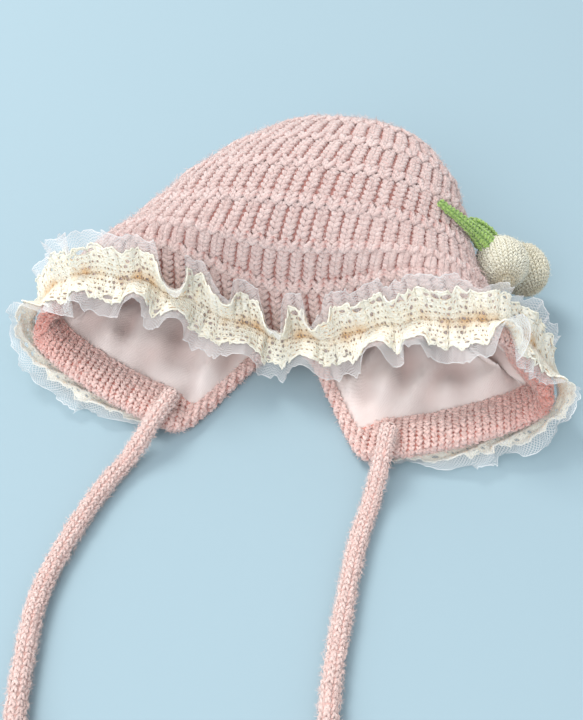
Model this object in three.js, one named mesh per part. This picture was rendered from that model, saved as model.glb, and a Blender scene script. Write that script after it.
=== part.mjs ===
// A knitted baby cap with ear flaps, lying on its back with its mouth towards -Y.
// Millimetres, +Z up. The origin is on the ground under the middle of the crown.
import * as THREE from "three";

// ---- driving dimensions ----
const ORIGIN_BACK = 60; // from the nape line to the origin, along Y
const CROWN_RISE = 156; // along the knit from the face edge's stitch line to the top of the crown
const KNIT_WALL = 3;
const BAND_WALL = 2.2;
const LINING_WALL = 1.5;
const LAYER_GAP = 0.4;
const FACE_BAND = 16; // width of the folded band along the face edge
const NAPE_BAND = 5; // and along the edges at the nape
const HEM_TURN = 7; // the face edge hangs this far below the trim's stitch line
const FLAP_LENGTH = 57;
const FLAP_TIP_X = 48;
const CORNER_ROUNDING = 2.5;
const TIP_ROUNDING = 3;
const FLAP_LIFT = 3.2; // the trim under a flap lifts its front edge this much
const SEAM_SINK = 0.8; // flattens the cap's back where it lies on the ground
const FRONT_POWER = 2.45; // superellipse powers of the loops round the crown
const BACK_POWER = 2.8;

const LACE_HALF = 11;
const TULLE_HALF = 18;
const LACE_WALL = 1.6;
const TULLE_WALL = 0.8;
const TRIM_GAP = 0.85;
const TRIM_WAVE = 29; // length of one gather along the trim

const TIE_DIAMETER = 8;
const KNOT_DIAMETER = 14;
const KNOT_LENGTH = 17;
const BUD_RADIUS = 11.5;
const BUD_LENGTH = 25;
const SEAT_GAP = 0.35;

// ---- the crown's loops ----
// One row for each course line of the knit. "up" is measured along the knit from the face
// edge. Each row gives the loop's front, side and back points and its sideways lean.
const SECTIONS = [
  { up: 0, frontY: 0, frontZ: 20, sideX: 115, sideY: -6, sideZ: 15, backY: 9, backZ: 1.5, lean: 0 },
  { up: 20, frontY: 12.5, frontZ: 39, sideX: 99.5, sideY: 12, sideZ: 24, backY: 28, backZ: 0, lean: -4.5 },
  { up: 39, frontY: 19, frontZ: 57, sideX: 88, sideY: 29, sideZ: 30, backY: 47, backZ: 0, lean: -3.5 },
  { up: 59, frontY: 33, frontZ: 70.5, sideX: 76.5, sideY: 46, sideZ: 34, backY: 66, backZ: 0, lean: -0.5 },
  { up: 78, frontY: 52, frontZ: 76, sideX: 68, sideY: 62, sideZ: 37, backY: 84, backZ: 0, lean: 3.5 },
  { up: 97, frontY: 71, frontZ: 76, sideX: 58.5, sideY: 78, sideZ: 39, backY: 101, backZ: 1, lean: 8 },
  { up: 117, frontY: 91, frontZ: 72, sideX: 45, sideY: 94, sideZ: 40, backY: 117, backZ: 7, lean: 11.5 },
  { up: 137, frontY: 107, frontZ: 61, sideX: 25, sideY: 108, sideZ: 41, backY: 124, backZ: 20, lean: 13 },
  { up: 156, frontY: 118, frontZ: 43, sideX: 0.02, sideY: 119, sideZ: 42.5, backY: 120, backZ: 42, lean: 14 },
];
const COLUMNS = ["frontY", "frontZ", "sideX", "sideY", "sideZ", "backY", "backZ", "lean"];

// The brow is propped up beside the middle, where the face edge droops.
const HUMP_HEIGHT = 27;
const HUMP_FADE = 62;
const HUMP_SCALE = 6.75; // makes the hump's shape function peak at 1
// How much closer the ribs crowd at the back than at the front, by height up the knit.
const CROWDING = [
  { up: 0, amount: 0 },
  { up: 60, amount: 0.12 },
  { up: 117, amount: 0.22 },
  { up: 156, amount: 0 },
];

const NORMAL_REACH = 0.012; // share of half a loop that a normal is taken over
const CORNER_REACH = 0.17;
const LOOP_STEPS = 160;
const LEVEL_COUNT = 105;
const AROUND_COUNT = 121;

function smoothstep(value) {
  const t = Math.min(Math.max(value, 0), 1);
  return t * t * (3 - 2 * t);
}

function mix(a, b, t) {
  return a + (b - a) * t;
}

// A smooth curve through the rows of the section table.
function sectionAt(up) {
  const last = SECTIONS.length - 1;
  let row = 0;
  while (row < last - 1 && up > SECTIONS[row + 1].up) row += 1;
  const t = (up - SECTIONS[row].up) / (SECTIONS[row + 1].up - SECTIONS[row].up);
  const section = {};
  for (const column of COLUMNS) {
    const p1 = SECTIONS[row][column];
    const p2 = SECTIONS[row + 1][column];
    const p0 = row > 0 ? SECTIONS[row - 1][column] : 2 * p1 - p2;
    const p3 = row + 2 <= last ? SECTIONS[row + 2][column] : 2 * p2 - p1;
    const linear = p2 - p0;
    const square = 2 * p0 - 5 * p1 + 4 * p2 - p3;
    const cube = 3 * p1 - p0 - 3 * p2 + p3;
    section[column] = 0.5 * (2 * p1 + t * (linear + t * (square + t * cube)));
  }
  return section;
}

function crowdingAt(up) {
  let row = 0;
  while (row < CROWDING.length - 2 && up > CROWDING[row + 1].up) row += 1;
  const from = CROWDING[row];
  const to = CROWDING[row + 1];
  return mix(from.amount, to.amount, (up - from.up) / (to.up - from.up));
}

// Half a loop, from the middle of the front round one side to the middle of the back.
function halfLoop(up, side) {
  const s = sectionAt(up);
  const fade = Math.max(1 - up / HUMP_FADE, 0);
  const hump = HUMP_HEIGHT * fade * fade * (3 - 2 * fade);
  const points = [];
  for (let step = 0; step <= LOOP_STEPS; step += 1) {
    const angle = (Math.PI * step) / LOOP_STEPS;
    const front = angle <= Math.PI / 2;
    const power = 2 / (front ? FRONT_POWER : BACK_POWER);
    const along = Math.pow(Math.abs(Math.cos(angle)), power);
    const across = Math.pow(Math.abs(Math.sin(angle)), power);
    const y = s.sideY + ((front ? s.frontY : s.backY) - s.sideY) * along;
    let z = s.sideZ + ((front ? s.frontZ : s.backZ) - s.sideZ) * along;
    if (front) z += hump * HUMP_SCALE * across * across * (1 - across);
    points.push(new THREE.Vector3(side * s.sideX * across + s.lean, y, Math.max(z - SEAM_SINK, 0)));
  }
  return points;
}

// The distance run along a polyline at each of its points.
function runAlong(points) {
  const run = [0];
  for (let i = 1; i < points.length; i += 1) run.push(run[i - 1] + points[i].distanceTo(points[i - 1]));
  return run;
}

// Points at even fractions of a polyline's length, after a shift of the fraction.
function evenPoints(points, count, shift) {
  const run = runAlong(points);
  const total = run[run.length - 1];
  const result = [];
  let i = 0;
  for (let k = 0; k < count; k += 1) {
    const fraction = k / (count - 1);
    const want = Math.min(total * shift(fraction), total);
    while (i < points.length - 2 && run[i + 1] < want) i += 1;
    const t = (want - run[i]) / Math.max(run[i + 1] - run[i], 1e-9);
    result.push(points[i].clone().lerp(points[i + 1], Math.min(Math.max(t, 0), 1)));
  }
  return result;
}

function loopTable(side) {
  const rows = [];
  for (let level = 0; level < LEVEL_COUNT; level += 1) {
    const up = (CROWN_RISE * level) / (LEVEL_COUNT - 1);
    const crowd = crowdingAt(up);
    const shift = (f) => f + (crowd * Math.sin(Math.PI * f)) / Math.PI;
    rows.push(evenPoints(halfLoop(up, side), AROUND_COUNT, shift));
  }
  return rows;
}

const RIGHT_LOOPS = loopTable(1);
const LEFT_LOOPS = loopTable(-1);

function onLoops(around, up) {
  const loops = around >= 0 ? RIGHT_LOOPS : LEFT_LOOPS;
  const a = Math.min(Math.abs(around), 1) * (AROUND_COUNT - 1);
  const b = (Math.min(Math.max(up, 0), CROWN_RISE) / CROWN_RISE) * (LEVEL_COUNT - 1);
  const i = Math.min(Math.floor(a), AROUND_COUNT - 2);
  const j = Math.min(Math.floor(b), LEVEL_COUNT - 2);
  const low = loops[j][i].clone().lerp(loops[j][i + 1], a - i);
  const high = loops[j + 1][i].clone().lerp(loops[j + 1][i + 1], a - i);
  return low.lerp(high, b - j);
}

// Where the side of the mouth is, as a fraction round half the hem, and how far it is to the tip.
const HEM_LINE = RIGHT_LOOPS[0];
const HALF_HEM = runAlong(HEM_LINE)[AROUND_COUNT - 1];
const WIDEST = HEM_LINE.reduce((best, p, i) => (p.x > HEM_LINE[best].x ? i : best), 0);
const SIDE_AT = WIDEST / (AROUND_COUNT - 1);
const TIP_AT = (() => {
  let i = WIDEST;
  while (HEM_LINE[i + 1].x > FLAP_TIP_X) i += 1;
  const t = (HEM_LINE[i].x - FLAP_TIP_X) / (HEM_LINE[i].x - HEM_LINE[i + 1].x);
  return (i + t) / (AROUND_COUNT - 1);
})();

// How far the knit runs below the stitch line: a little at the brow, a long way on the flaps.
function edgeAt(around) {
  const a = Math.abs(around);
  const brow = HEM_TURN * (1 - smoothstep((a - 0.3) / (SIDE_AT - 0.3)));
  const pastSide = (a - SIDE_AT) * HALF_HEM;
  const run = CORNER_ROUNDING * Math.log(1 + Math.exp(pastSide / CORNER_ROUNDING));
  const front = FLAP_LENGTH * Math.sqrt(run / ((TIP_AT - SIDE_AT) * HALF_HEM));
  if (a <= SIDE_AT) return -brow - front;
  const x = Math.abs(onLoops(a, 0).x);
  const nape = 1.02 * FLAP_LENGTH * smoothstep((x / FLAP_TIP_X) * 1.043) + 1;
  const both = Math.exp(-front / TIP_ROUNDING) + Math.exp(-nape / TIP_ROUNDING);
  return -brow - Math.max(-TIP_ROUNDING * Math.log(both), 0);
}

// 1 on the front edges of the flaps, 0 at the brow and at the nape.
function flapFront(around) {
  const a = Math.abs(around);
  return smoothstep((a - SIDE_AT) / 0.05) * (1 - smoothstep((a - TIP_AT + 0.01) / 0.07));
}

// 1 at the corners of the mouth, where the layers need a little more room.
function cornerAt(around) {
  return 1 - smoothstep(Math.abs(Math.abs(around) - SIDE_AT - 0.02) / 0.12);
}

function bandWidthAt(around) {
  const toNape = smoothstep((Math.abs(around) - TIP_AT - 0.005) / 0.05);
  return mix(FACE_BAND, NAPE_BAND, toNape);
}

// The knit's outer surface.
function surface(around, up) {
  const point = onLoops(around, up);
  const below = Math.max(-up, 0);
  if (below > 0) {
    const slope = onLoops(around, 0).sub(onLoops(around, 3)).normalize();
    const toFlap = smoothstep((Math.abs(around) - SIDE_AT + 0.12) / 0.12);
    const fall = slope.lerp(new THREE.Vector3(0, -1, 0), toFlap).normalize();
    point.addScaledVector(fall, below);
  }
  const inFromEdge = up - edgeAt(around);
  point.z += FLAP_LIFT * flapFront(around) * smoothstep((20 - inFromEdge) / 16);
  point.z = Math.max(point.z, 0);
  point.y -= ORIGIN_BACK;
  return point;
}

function wrap(around) {
  if (around > 1) return around - 2;
  if (around < -1) return around + 2;
  return around;
}

// Across a corner it is the mean normal of the whole fold, so that inner layers turn with it.
function normalAt(around, up) {
  const e = mix(NORMAL_REACH, CORNER_REACH, cornerAt(around));
  const high = Math.min(up + 2, CROWN_RISE - 1);
  const sideways = surface(wrap(around + e), up).sub(surface(wrap(around - e), up));
  const upwards = surface(around, high).sub(surface(around, high - 4));
  return sideways.cross(upwards).normalize();
}

// A point this deep inside the knit's outer surface, and "extra" deeper at the corners.
function offsetSurface(around, up, depth, extra = 0) {
  return surface(around, up).addScaledVector(normalAt(around, up), -depth - extra * cornerAt(around));
}

// ---- closed meshes from grids of points ----
class Skin {
  constructor() {
    this.points = [];
    this.faces = [];
  }

  add(point) {
    this.points.push(point);
    return this.points.length - 1;
  }

  // The diagonal runs from b to d.
  quad(a, b, c, d) {
    this.faces.push([a, b, d], [b, c, d]);
  }

  geometry() {
    const position = this.points.flatMap((p) => [p.x, p.y, p.z]);
    const geometry = new THREE.BufferGeometry();
    geometry.setAttribute("position", new THREE.Float32BufferAttribute(position, 3));
    geometry.setIndex(this.faces.flat());
    geometry.computeVertexNormals();
    return geometry;
  }
}

// Joins rings of equal length, the first to the second and so on; the last closes on the first.
// The first half of the rings is one face of a sheet and the rest, in reverse order, the other
// face. Both faces are split along the same diagonals, so that sheets can lie close together.
function ringsToSolid(rings, closedAround) {
  const skin = new Skin();
  const ids = rings.map((ring) => ring.map((p) => skin.add(p)));
  const count = ids[0].length;
  for (let r = 0; r < ids.length; r += 1) {
    const here = ids[r];
    const next = ids[(r + 1) % ids.length];
    const columns = closedAround ? count : count - 1;
    for (let i = 0; i < columns; i += 1) {
      const j = (i + 1) % count;
      if (r < ids.length / 2) skin.quad(next[i], here[i], here[j], next[j]);
      else skin.quad(here[i], here[j], next[j], next[i]);
    }
  }
  if (!closedAround) {
    for (const [end, flip] of [[0, false], [count - 1, true]]) {
      for (let r = 1; r < ids.length - 1; r += 1) {
        const cap = [ids[0][end], ids[r][end], ids[r + 1][end]];
        skin.faces.push(flip ? cap.reverse() : cap);
      }
    }
  }
  return skin.geometry();
}

// A shell with an open mouth: rows run from the mouth to a point at the crown.
function shellGeometry(aroundList, rowsAt, topRow, outerDepth, innerDepth, extra = 0) {
  const skin = new Skin();
  const sides = [outerDepth, innerDepth].map((depth) => {
    const rows = [];
    for (let row = 0; row < topRow; row += 1) {
      rows.push(aroundList.map((a) => skin.add(offsetSurface(a, rowsAt(a, row), depth, extra))));
    }
    const top = new THREE.Vector3();
    for (const a of aroundList) top.add(offsetSurface(a, CROWN_RISE - 4, depth));
    top.divideScalar(aroundList.length);
    top.y += 0.8;
    return { rows, top: skin.add(top) };
  });
  const count = aroundList.length;
  for (let i = 0; i < count; i += 1) {
    const j = (i + 1) % count;
    const [outer, inner] = sides;
    for (let row = 0; row + 1 < topRow; row += 1) {
      skin.quad(outer.rows[row + 1][i], outer.rows[row][i], outer.rows[row][j], outer.rows[row + 1][j]);
      skin.quad(inner.rows[row][j], inner.rows[row][i], inner.rows[row + 1][i], inner.rows[row + 1][j]);
    }
    skin.faces.push([outer.rows[topRow - 1][i], outer.rows[topRow - 1][j], outer.top]);
    skin.faces.push([inner.rows[topRow - 1][j], inner.rows[topRow - 1][i], inner.top]);
    skin.quad(inner.rows[0][i], inner.rows[0][j], outer.rows[0][j], outer.rows[0][i]);
  }
  return skin.geometry();
}

// ---- knitted shell, band and lining ----
const SHELL_STATIONS = 60;
const CORNER_ROOM = 3.2; // the lining starts this much further from the band at the corners
const BAND_CORNER_ROOM = 0.2; // and the layers lie this much deeper there
const LINING_CORNER_ROOM = 1.6;
const SHELL_ROWS = 11;
const BUNCHING = 0.65; // of the stations, towards the corners
const BUNCHED_AT = 0.56;

// Stations round the shell, closer together at the corners of the mouth.
function shellStations() {
  const list = [];
  for (let i = 0; i < SHELL_STATIONS; i += 1) {
    const even = -1 + (2 * (i + 0.5)) / SHELL_STATIONS;
    const a = Math.abs(even);
    const bunched = Math.sin(2 * Math.PI * (a - BUNCHED_AT)) + Math.sin(2 * Math.PI * BUNCHED_AT);
    list.push(Math.sign(even) * (a - (BUNCHING / (2 * Math.PI)) * bunched));
  }
  return list;
}

// Row 0 is the edge, rows 1 and 2 cross the band, and the rest climb to the crown.
function crownRow(around, row) {
  const edge = edgeAt(around);
  const band = bandWidthAt(around);
  if (row <= 2) return edge + (band * row) / 2;
  const start = edge + band;
  return mix(start, CROWN_RISE - 4, (row - 2) / (SHELL_ROWS - 2));
}

function liningRow(around, row) {
  if (row > 0) return crownRow(around, row + 2);
  return crownRow(around, 2) + LAYER_GAP + CORNER_ROOM * cornerAt(around);
}

function crownGeometry() {
  return shellGeometry(shellStations(), crownRow, SHELL_ROWS, 0, KNIT_WALL);
}

function liningGeometry() {
  const outer = KNIT_WALL + LAYER_GAP;
  const inner = outer + LINING_WALL;
  return shellGeometry(shellStations(), liningRow, SHELL_ROWS - 2, outer, inner, LINING_CORNER_ROOM);
}

function bandGeometry() {
  const outer = KNIT_WALL + LAYER_GAP;
  const inner = outer + BAND_WALL;
  const stations = shellStations();
  const deep = (a, row, depth) => offsetSurface(a, crownRow(a, row), depth, BAND_CORNER_ROOM);
  const ring = (row, depth) => stations.map((a) => deep(a, row, depth));
  return ringsToSolid([ring(0, outer), ring(1, outer), ring(2, outer), ring(2, inner), ring(1, inner),
    ring(0, inner)], true);
}

// ---- gathered trim along the face edge ----
const TRIM_STATIONS = 74;
const TRIM_SAMPLES = 900;
const TRIM_SWELL = 3; // how far the gathers rise
const TRIM_CORNER_ROOM = 3; // the trim stands this much further off at the corners
const TUCKED_SHARE = 0.12; // of the lying half's width is left where it is tucked under a flap
const TIP_TAPER = 0.35; // of the free half's width is left at the flaps' tips
const UPPER_EASE = 0.03; // the lying half rises this much for each millimetre from the stitches
const LACE_ROWS = [-LACE_HALF, 0, LACE_HALF / 2, LACE_HALF];
const TULLE_ROWS = [-TULLE_HALF, ...LACE_ROWS, TULLE_HALF];
// How far the free half of the trim stands away from the cap, in degrees, by place along
// half the trim: 0 is the middle of the brow and 1 the flap's tip.
const FLARE = [
  { place: 0, angle: 12 },
  { place: 0.25, angle: 25 },
  { place: 0.45, angle: 48 },
  { place: 0.6, angle: 60 },
  { place: 0.72, angle: 25 },
  { place: 0.82, angle: 0 },
  { place: 1, angle: 0 },
];

function flareAt(place) {
  let row = 0;
  while (row < FLARE.length - 2 && place > FLARE[row + 1].place) row += 1;
  const from = FLARE[row];
  const to = FLARE[row + 1];
  const t = (place - from.place) / (to.place - from.place);
  return THREE.MathUtils.degToRad(mix(from.angle, to.angle, t));
}

function stitchUp(around) {
  return edgeAt(around) + mix(HEM_TURN, 3, smoothstep((Math.abs(around) - SIDE_AT + 0.02) / 0.08));
}

// Even stations along the stitch line from the left tip to the right, with a smoothed frame.
function trimStations() {
  const reach = TIP_AT - 0.012;
  const fine = [];
  for (let i = 0; i <= TRIM_SAMPLES; i += 1) {
    const around = mix(-reach, reach, i / TRIM_SAMPLES);
    fine.push({ around, point: surface(around, stitchUp(around)) });
  }
  const run = runAlong(fine.map((sample) => sample.point));
  const total = run[run.length - 1];
  const stations = [];
  let i = 0;
  for (let k = 0; k < TRIM_STATIONS; k += 1) {
    const want = (total * k) / (TRIM_STATIONS - 1);
    while (i < fine.length - 2 && run[i + 1] < want) i += 1;
    const t = Math.min((want - run[i]) / (run[i + 1] - run[i]), 1);
    const around = mix(fine[i].around, fine[i + 1].around, t);
    stations.push({
      around,
      run: want,
      place: Math.abs((2 * k) / (TRIM_STATIONS - 1) - 1),
      point: surface(around, stitchUp(around)),
      normal: normalAt(around, stitchUp(around)),
    });
  }
  stations.forEach((s, k) => {
    const before = stations[Math.max(k - 1, 0)].point;
    const after = stations[Math.min(k + 1, TRIM_STATIONS - 1)].point;
    s.outward = after.clone().sub(before).cross(s.normal).normalize();
  });
  const smooth = (field) => {
    const averaged = stations.map((s, k) => {
      const sum = new THREE.Vector3();
      for (let d = -2; d <= 2; d += 1) {
        const other = stations[Math.min(Math.max(k + d, 0), TRIM_STATIONS - 1)];
        sum.addScaledVector(other[field], 3 - Math.abs(d));
      }
      return sum.normalize();
    });
    stations.forEach((s, k) => {
      s[field] = averaged[k];
    });
  };
  smooth("outward");
  smooth("normal");
  return stations;
}

const TRIM = trimStations();

// A point of the trim: "across" is negative on the free half and positive on the half that
// lies on the cap; "height" is measured out from the cap. Both layers share one wave.
function trimPoint(station, across, height) {
  const { around, point, outward, normal } = station;
  const flare = flareAt(station.place);
  const phase = (2 * Math.PI * station.run) / TRIM_WAVE + (across > 0 ? Math.PI / 2 : 0);
  const swell = TRIM_SWELL * (1 - flapFront(around)) * (0.5 + 0.5 * Math.sin(phase));
  const wave = (swell * Math.abs(across)) / LACE_HALF;
  const room = height + TRIM_CORNER_ROOM * cornerAt(around);
  const bend = room * Math.tan(flare / 2);
  const fold = point.clone().addScaledVector(normal, room).addScaledVector(outward, -bend);
  if (across > 0) {
    const tucked = smoothstep((Math.abs(around) - SIDE_AT + 0.03) / 0.08);
    const up = stitchUp(around) + across;
    const away = room + wave + UPPER_EASE * across;
    const lying = surface(around, up).addScaledVector(normalAt(around, up), away);
    return lying.lerp(fold.addScaledVector(outward, -TUCKED_SHARE * across), tucked);
  }
  const down = -across * mix(1, TIP_TAPER, smoothstep((station.place - 0.84) / 0.16));
  fold.addScaledVector(outward, down * Math.cos(flare) - wave * Math.sin(flare));
  return fold.addScaledVector(normal, down * Math.sin(flare) + wave * Math.cos(flare));
}

// The rows lie at these distances from the stitch line.
function trimGeometry(rows, from, wall) {
  const line = (across, height) => TRIM.map((s) => trimPoint(s, across, height));
  const under = rows.map((across) => line(across, from));
  const over = rows.map((across) => line(across, from + wall));
  return ringsToSolid([...over, ...under.reverse()], false);
}

// ---- ties ----
// Hand-laid routes: from the flap's tip, over its edge and along the ground.
const TIE_ROUTES = {
  left: [
    [-44.5, -35.5, 13.8], [-46, -42, 14], [-48.3, -48.5, 13.7], [-51, -54.5, 10.4], [-54, -61, 6.6],
    [-57, -67, 4.6], [-59.8, -73.5, 4.2], [-62.7, -81.5, 4.2], [-65.6, -92, 4.2], [-68, -103, 4.2],
    [-69.9, -114, 4.2], [-71, -124, 4.2], [-70.8, -133.5, 4.2], [-69.4, -143, 4.2],
    [-67.8, -152, 4.2], [-65.9, -161, 4.2], [-63.7, -170, 4.2], [-61.4, -178, 4.2],
  ],
  right: [
    [48.4, -37.5, 13.8], [48, -43.5, 14], [47.5, -49, 13.2], [46.9, -55, 10.2], [46.1, -61.5, 6.4],
    [45.2, -67.5, 4.6], [44.3, -73.5, 4.2], [43, -81, 4.2], [41.9, -90, 4.2], [41.2, -99.5, 4.2],
    [40.8, -109, 4.2], [40.3, -119, 4.2], [40, -129, 4.2], [39.9, -139, 4.2], [40.3, -149, 4.2],
    [41, -159, 4.2],
  ],
};
const TIE_SIDES = 8;
const TIE_STEPS = 26;

function tieCurve(route) {
  return new THREE.CatmullRomCurve3(route.map(([x, y, z]) => new THREE.Vector3(x, y - ORIGIN_BACK, z)));
}

function tieGeometry(route) {
  const section = new THREE.Shape();
  for (let k = 0; k < TIE_SIDES; k += 1) {
    const angle = (2 * Math.PI * (k + 0.5)) / TIE_SIDES;
    const x = (TIE_DIAMETER / 2) * Math.cos(angle);
    const y = (TIE_DIAMETER / 2) * Math.sin(angle);
    if (k === 0) section.moveTo(x, y);
    else section.lineTo(x, y);
  }
  section.closePath();
  return new THREE.ExtrudeGeometry(section, {
    steps: TIE_STEPS,
    bevelEnabled: false,
    extrudePath: tieCurve(route),
  });
}

// ---- turned soft shapes: knots and tulip buds ----
function turnedGeometry(profile, sides) {
  const outline = profile.map(([radius, along]) => new THREE.Vector2(radius, along));
  return new THREE.LatheGeometry(outline, sides);
}

// Places a shape turned about Y so that its axis points along a direction.
function aim(mesh, at, direction) {
  mesh.position.copy(at);
  mesh.quaternion.setFromUnitVectors(new THREE.Vector3(0, 1, 0), direction.clone().normalize());
}

function ovalProfile(radius, length, rows) {
  const profile = [];
  for (let r = 0; r <= rows; r += 1) {
    const angle = (Math.PI * r) / rows;
    const edge = r === 0 || r === rows;
    profile.push([edge ? 0 : radius * Math.sin(angle), (-length / 2) * Math.cos(angle)]);
  }
  return profile;
}

// A tulip bud, from its stem end to its gathered tip.
function budProfile() {
  const half = BUD_LENGTH / 2;
  return [
    [0, -half], [0.42 * BUD_RADIUS, -0.93 * half], [0.82 * BUD_RADIUS, -0.6 * half],
    [BUD_RADIUS, -0.05 * half], [0.94 * BUD_RADIUS, 0.42 * half], [0.66 * BUD_RADIUS, 0.82 * half],
    [0.3 * BUD_RADIUS, half], [0, 0.94 * half],
  ];
}

// ---- the two tulips on the cap's right side ----
// Each stem starts on the crown, at this fraction round it and this far up the knit.
const TULIPS = [
  {
    name: "front",
    seat: { around: 0.45, up: 53 },
    heading: [0.6, -0.6, -0.53],
    stem: [{ around: 0.265, up: 68 }, { around: 0.315, up: 70.5 }, { around: 0.35, up: 72.5 }],
    stemRadii: [2.3, 2.7, 3.1, 3.6, 4.2],
  },
  {
    name: "rear",
    beside: [0.53, 0.575, -0.622],
    heading: [0.45, -0.6, -0.66],
    stem: [{ around: 0.405, up: 80 }, { around: 0.43, up: 83 }],
    stemRadii: [2.3, 2.8, 3.3, 3.8],
  },
];
const STEM_SIDES = 8;
const STEM_RUN_IN = 4.5; // the last stretch of a stem is in line with its bud

function onCrown(place, away) {
  return surface(place.around, place.up).addScaledVector(normalAt(place.around, place.up), away);
}

function budCentres() {
  const front = onCrown(TULIPS[0].seat, BUD_RADIUS + SEAT_GAP);
  const apart = new THREE.Vector3(...TULIPS[1].beside).setLength(2 * BUD_RADIUS + SEAT_GAP);
  return [front, front.clone().add(apart)];
}

// A tube whose radius changes evenly from one route point to the next.
function taperedTube(route, radii, sides) {
  const curve = new THREE.CatmullRomCurve3(route);
  const steps = 3 * (route.length - 1);
  const frames = curve.computeFrenetFrames(steps, false);
  const skin = new Skin();
  const rings = [];
  for (let step = 0; step <= steps; step += 1) {
    const t = step / steps;
    const at = t * (radii.length - 1);
    const low = Math.min(Math.floor(at), radii.length - 2);
    const radius = mix(radii[low], radii[low + 1], at - low);
    const centre = curve.getPoint(t);
    const ring = [];
    for (let k = 0; k < sides; k += 1) {
      const angle = (2 * Math.PI * k) / sides;
      const point = centre.clone().addScaledVector(frames.normals[step], radius * Math.cos(angle));
      ring.push(skin.add(point.addScaledVector(frames.binormals[step], radius * Math.sin(angle))));
    }
    rings.push(ring);
  }
  const ends = [skin.add(curve.getPoint(0)), skin.add(curve.getPoint(1))];
  for (let k = 0; k < sides; k += 1) {
    const next = (k + 1) % sides;
    for (let step = 0; step < steps; step += 1) {
      skin.quad(rings[step][k], rings[step][next], rings[step + 1][next], rings[step + 1][k]);
    }
    skin.faces.push([rings[0][next], rings[0][k], ends[0]]);
    skin.faces.push([rings[steps][k], rings[steps][next], ends[1]]);
  }
  return skin.geometry();
}

// ---- colours ----
const COLOURS = {
  crown: 0xe0c6bf,
  edge_band: 0xcfa096,
  lining: 0xe4dcd8,
  lace_trim: 0xe9dfc6,
  tulle_trim: 0xe8e4e2,
  tie: 0xdcbdb6,
  tulip_bud: 0xede9d8,
  tulip_stem: 0x92b662,
};

function fabric(color) {
  return new THREE.MeshStandardMaterial({ color, roughness: 0.9, metalness: 0 });
}

function piece(name, geometry, color) {
  const mesh = new THREE.Mesh(geometry, fabric(color));
  mesh.name = name;
  return mesh;
}

const cap = new THREE.Group();
cap.add(piece("crown", crownGeometry(), COLOURS.crown));
cap.add(piece("edge_band", bandGeometry(), COLOURS.edge_band));
cap.add(piece("lining", liningGeometry(), COLOURS.lining));
cap.add(piece("tulle_trim", trimGeometry(TULLE_ROWS, TRIM_GAP, TULLE_WALL), COLOURS.tulle_trim));
const laceStart = 2 * TRIM_GAP + TULLE_WALL;
cap.add(piece("lace_trim", trimGeometry(LACE_ROWS, laceStart, LACE_WALL), COLOURS.lace_trim));

for (const side of ["left", "right"]) {
  const route = TIE_ROUTES[side];
  cap.add(piece(`tie_${side}`, tieGeometry(route), COLOURS.tie));
  const oval = ovalProfile(KNOT_DIAMETER / 2, KNOT_LENGTH, 8);
  const knot = piece(`tie_knot_${side}`, turnedGeometry(oval, 12), COLOURS.tie);
  const curve = tieCurve(route);
  const heading = curve.getTangent(1);
  const centre = curve.getPoint(1).addScaledVector(heading, KNOT_LENGTH / 2 + SEAT_GAP);
  centre.z = KNOT_DIAMETER / 2 + 0.1;
  aim(knot, centre, heading);
  cap.add(knot);
}

const centres = budCentres();
TULIPS.forEach((tulip, i) => {
  const heading = new THREE.Vector3(...tulip.heading).normalize();
  const bud = piece(`tulip_bud_${tulip.name}`, turnedGeometry(budProfile(), 16), COLOURS.tulip_bud);
  aim(bud, centres[i], heading);
  cap.add(bud);
  const route = tulip.stem.map((place, k) => onCrown(place, tulip.stemRadii[k] + 2 * SEAT_GAP));
  for (const back of [STEM_RUN_IN, SEAT_GAP]) {
    route.push(centres[i].clone().addScaledVector(heading, -BUD_LENGTH / 2 - back));
  }
  const stem = taperedTube(route, tulip.stemRadii, STEM_SIDES);
  cap.add(piece(`tulip_stem_${tulip.name}`, stem, COLOURS.tulip_stem));
});

export default cap;
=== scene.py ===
import math

import bpy
import numpy as np
from mathutils import Matrix


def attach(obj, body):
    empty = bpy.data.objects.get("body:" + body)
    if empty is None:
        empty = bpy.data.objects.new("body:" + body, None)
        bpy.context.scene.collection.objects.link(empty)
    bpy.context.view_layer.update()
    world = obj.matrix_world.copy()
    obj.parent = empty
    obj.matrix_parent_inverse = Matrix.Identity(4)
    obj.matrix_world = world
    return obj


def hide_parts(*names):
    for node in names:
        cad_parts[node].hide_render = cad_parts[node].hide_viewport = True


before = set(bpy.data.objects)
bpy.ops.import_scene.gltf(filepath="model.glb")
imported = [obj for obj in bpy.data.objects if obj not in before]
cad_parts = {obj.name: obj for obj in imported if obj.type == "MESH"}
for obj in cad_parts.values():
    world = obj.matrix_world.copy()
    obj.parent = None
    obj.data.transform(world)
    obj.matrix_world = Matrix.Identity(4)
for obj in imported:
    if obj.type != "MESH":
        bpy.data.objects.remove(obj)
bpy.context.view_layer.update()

# Everything below is worked out in millimetres and turned into metres when a mesh is made.
MM = 0.001
rng = np.random.default_rng(11)

# ---- small tools
def ease(value):
    t = np.clip(value, 0, 1)
    return t * t * (3 - 2 * t)


def mix(a, b, t):
    return a + (b - a) * t


def size(v):
    return np.linalg.norm(v, axis=-1)


def unit(v):
    return v / np.maximum(size(v)[..., None], 1e-9)


def run_along(points):
    return np.concatenate([[0], np.cumsum(size(np.diff(points, axis=0)))])


def read_along(want, run, values):
    """Values, a row for each place in run, read at the wanted places."""
    return np.stack([np.interp(want, run, values[:, k]) for k in range(values.shape[1])], axis=-1)


def between(t, p0, p1, p2, p3):
    """A place on the smooth curve through four points, between the second and the third."""
    cubic = t * (2 * p0 - 5 * p1 + 4 * p2 - p3 + t * (3 * p1 - p0 - 3 * p2 + p3))
    return 0.5 * (2 * p1 + t * (p2 - p0 + cubic))


def padded(points):
    """The points, with one more at each end straight on."""
    return np.concatenate([[2 * points[0] - points[1]], points, [2 * points[-1] - points[-2]]])


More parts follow.
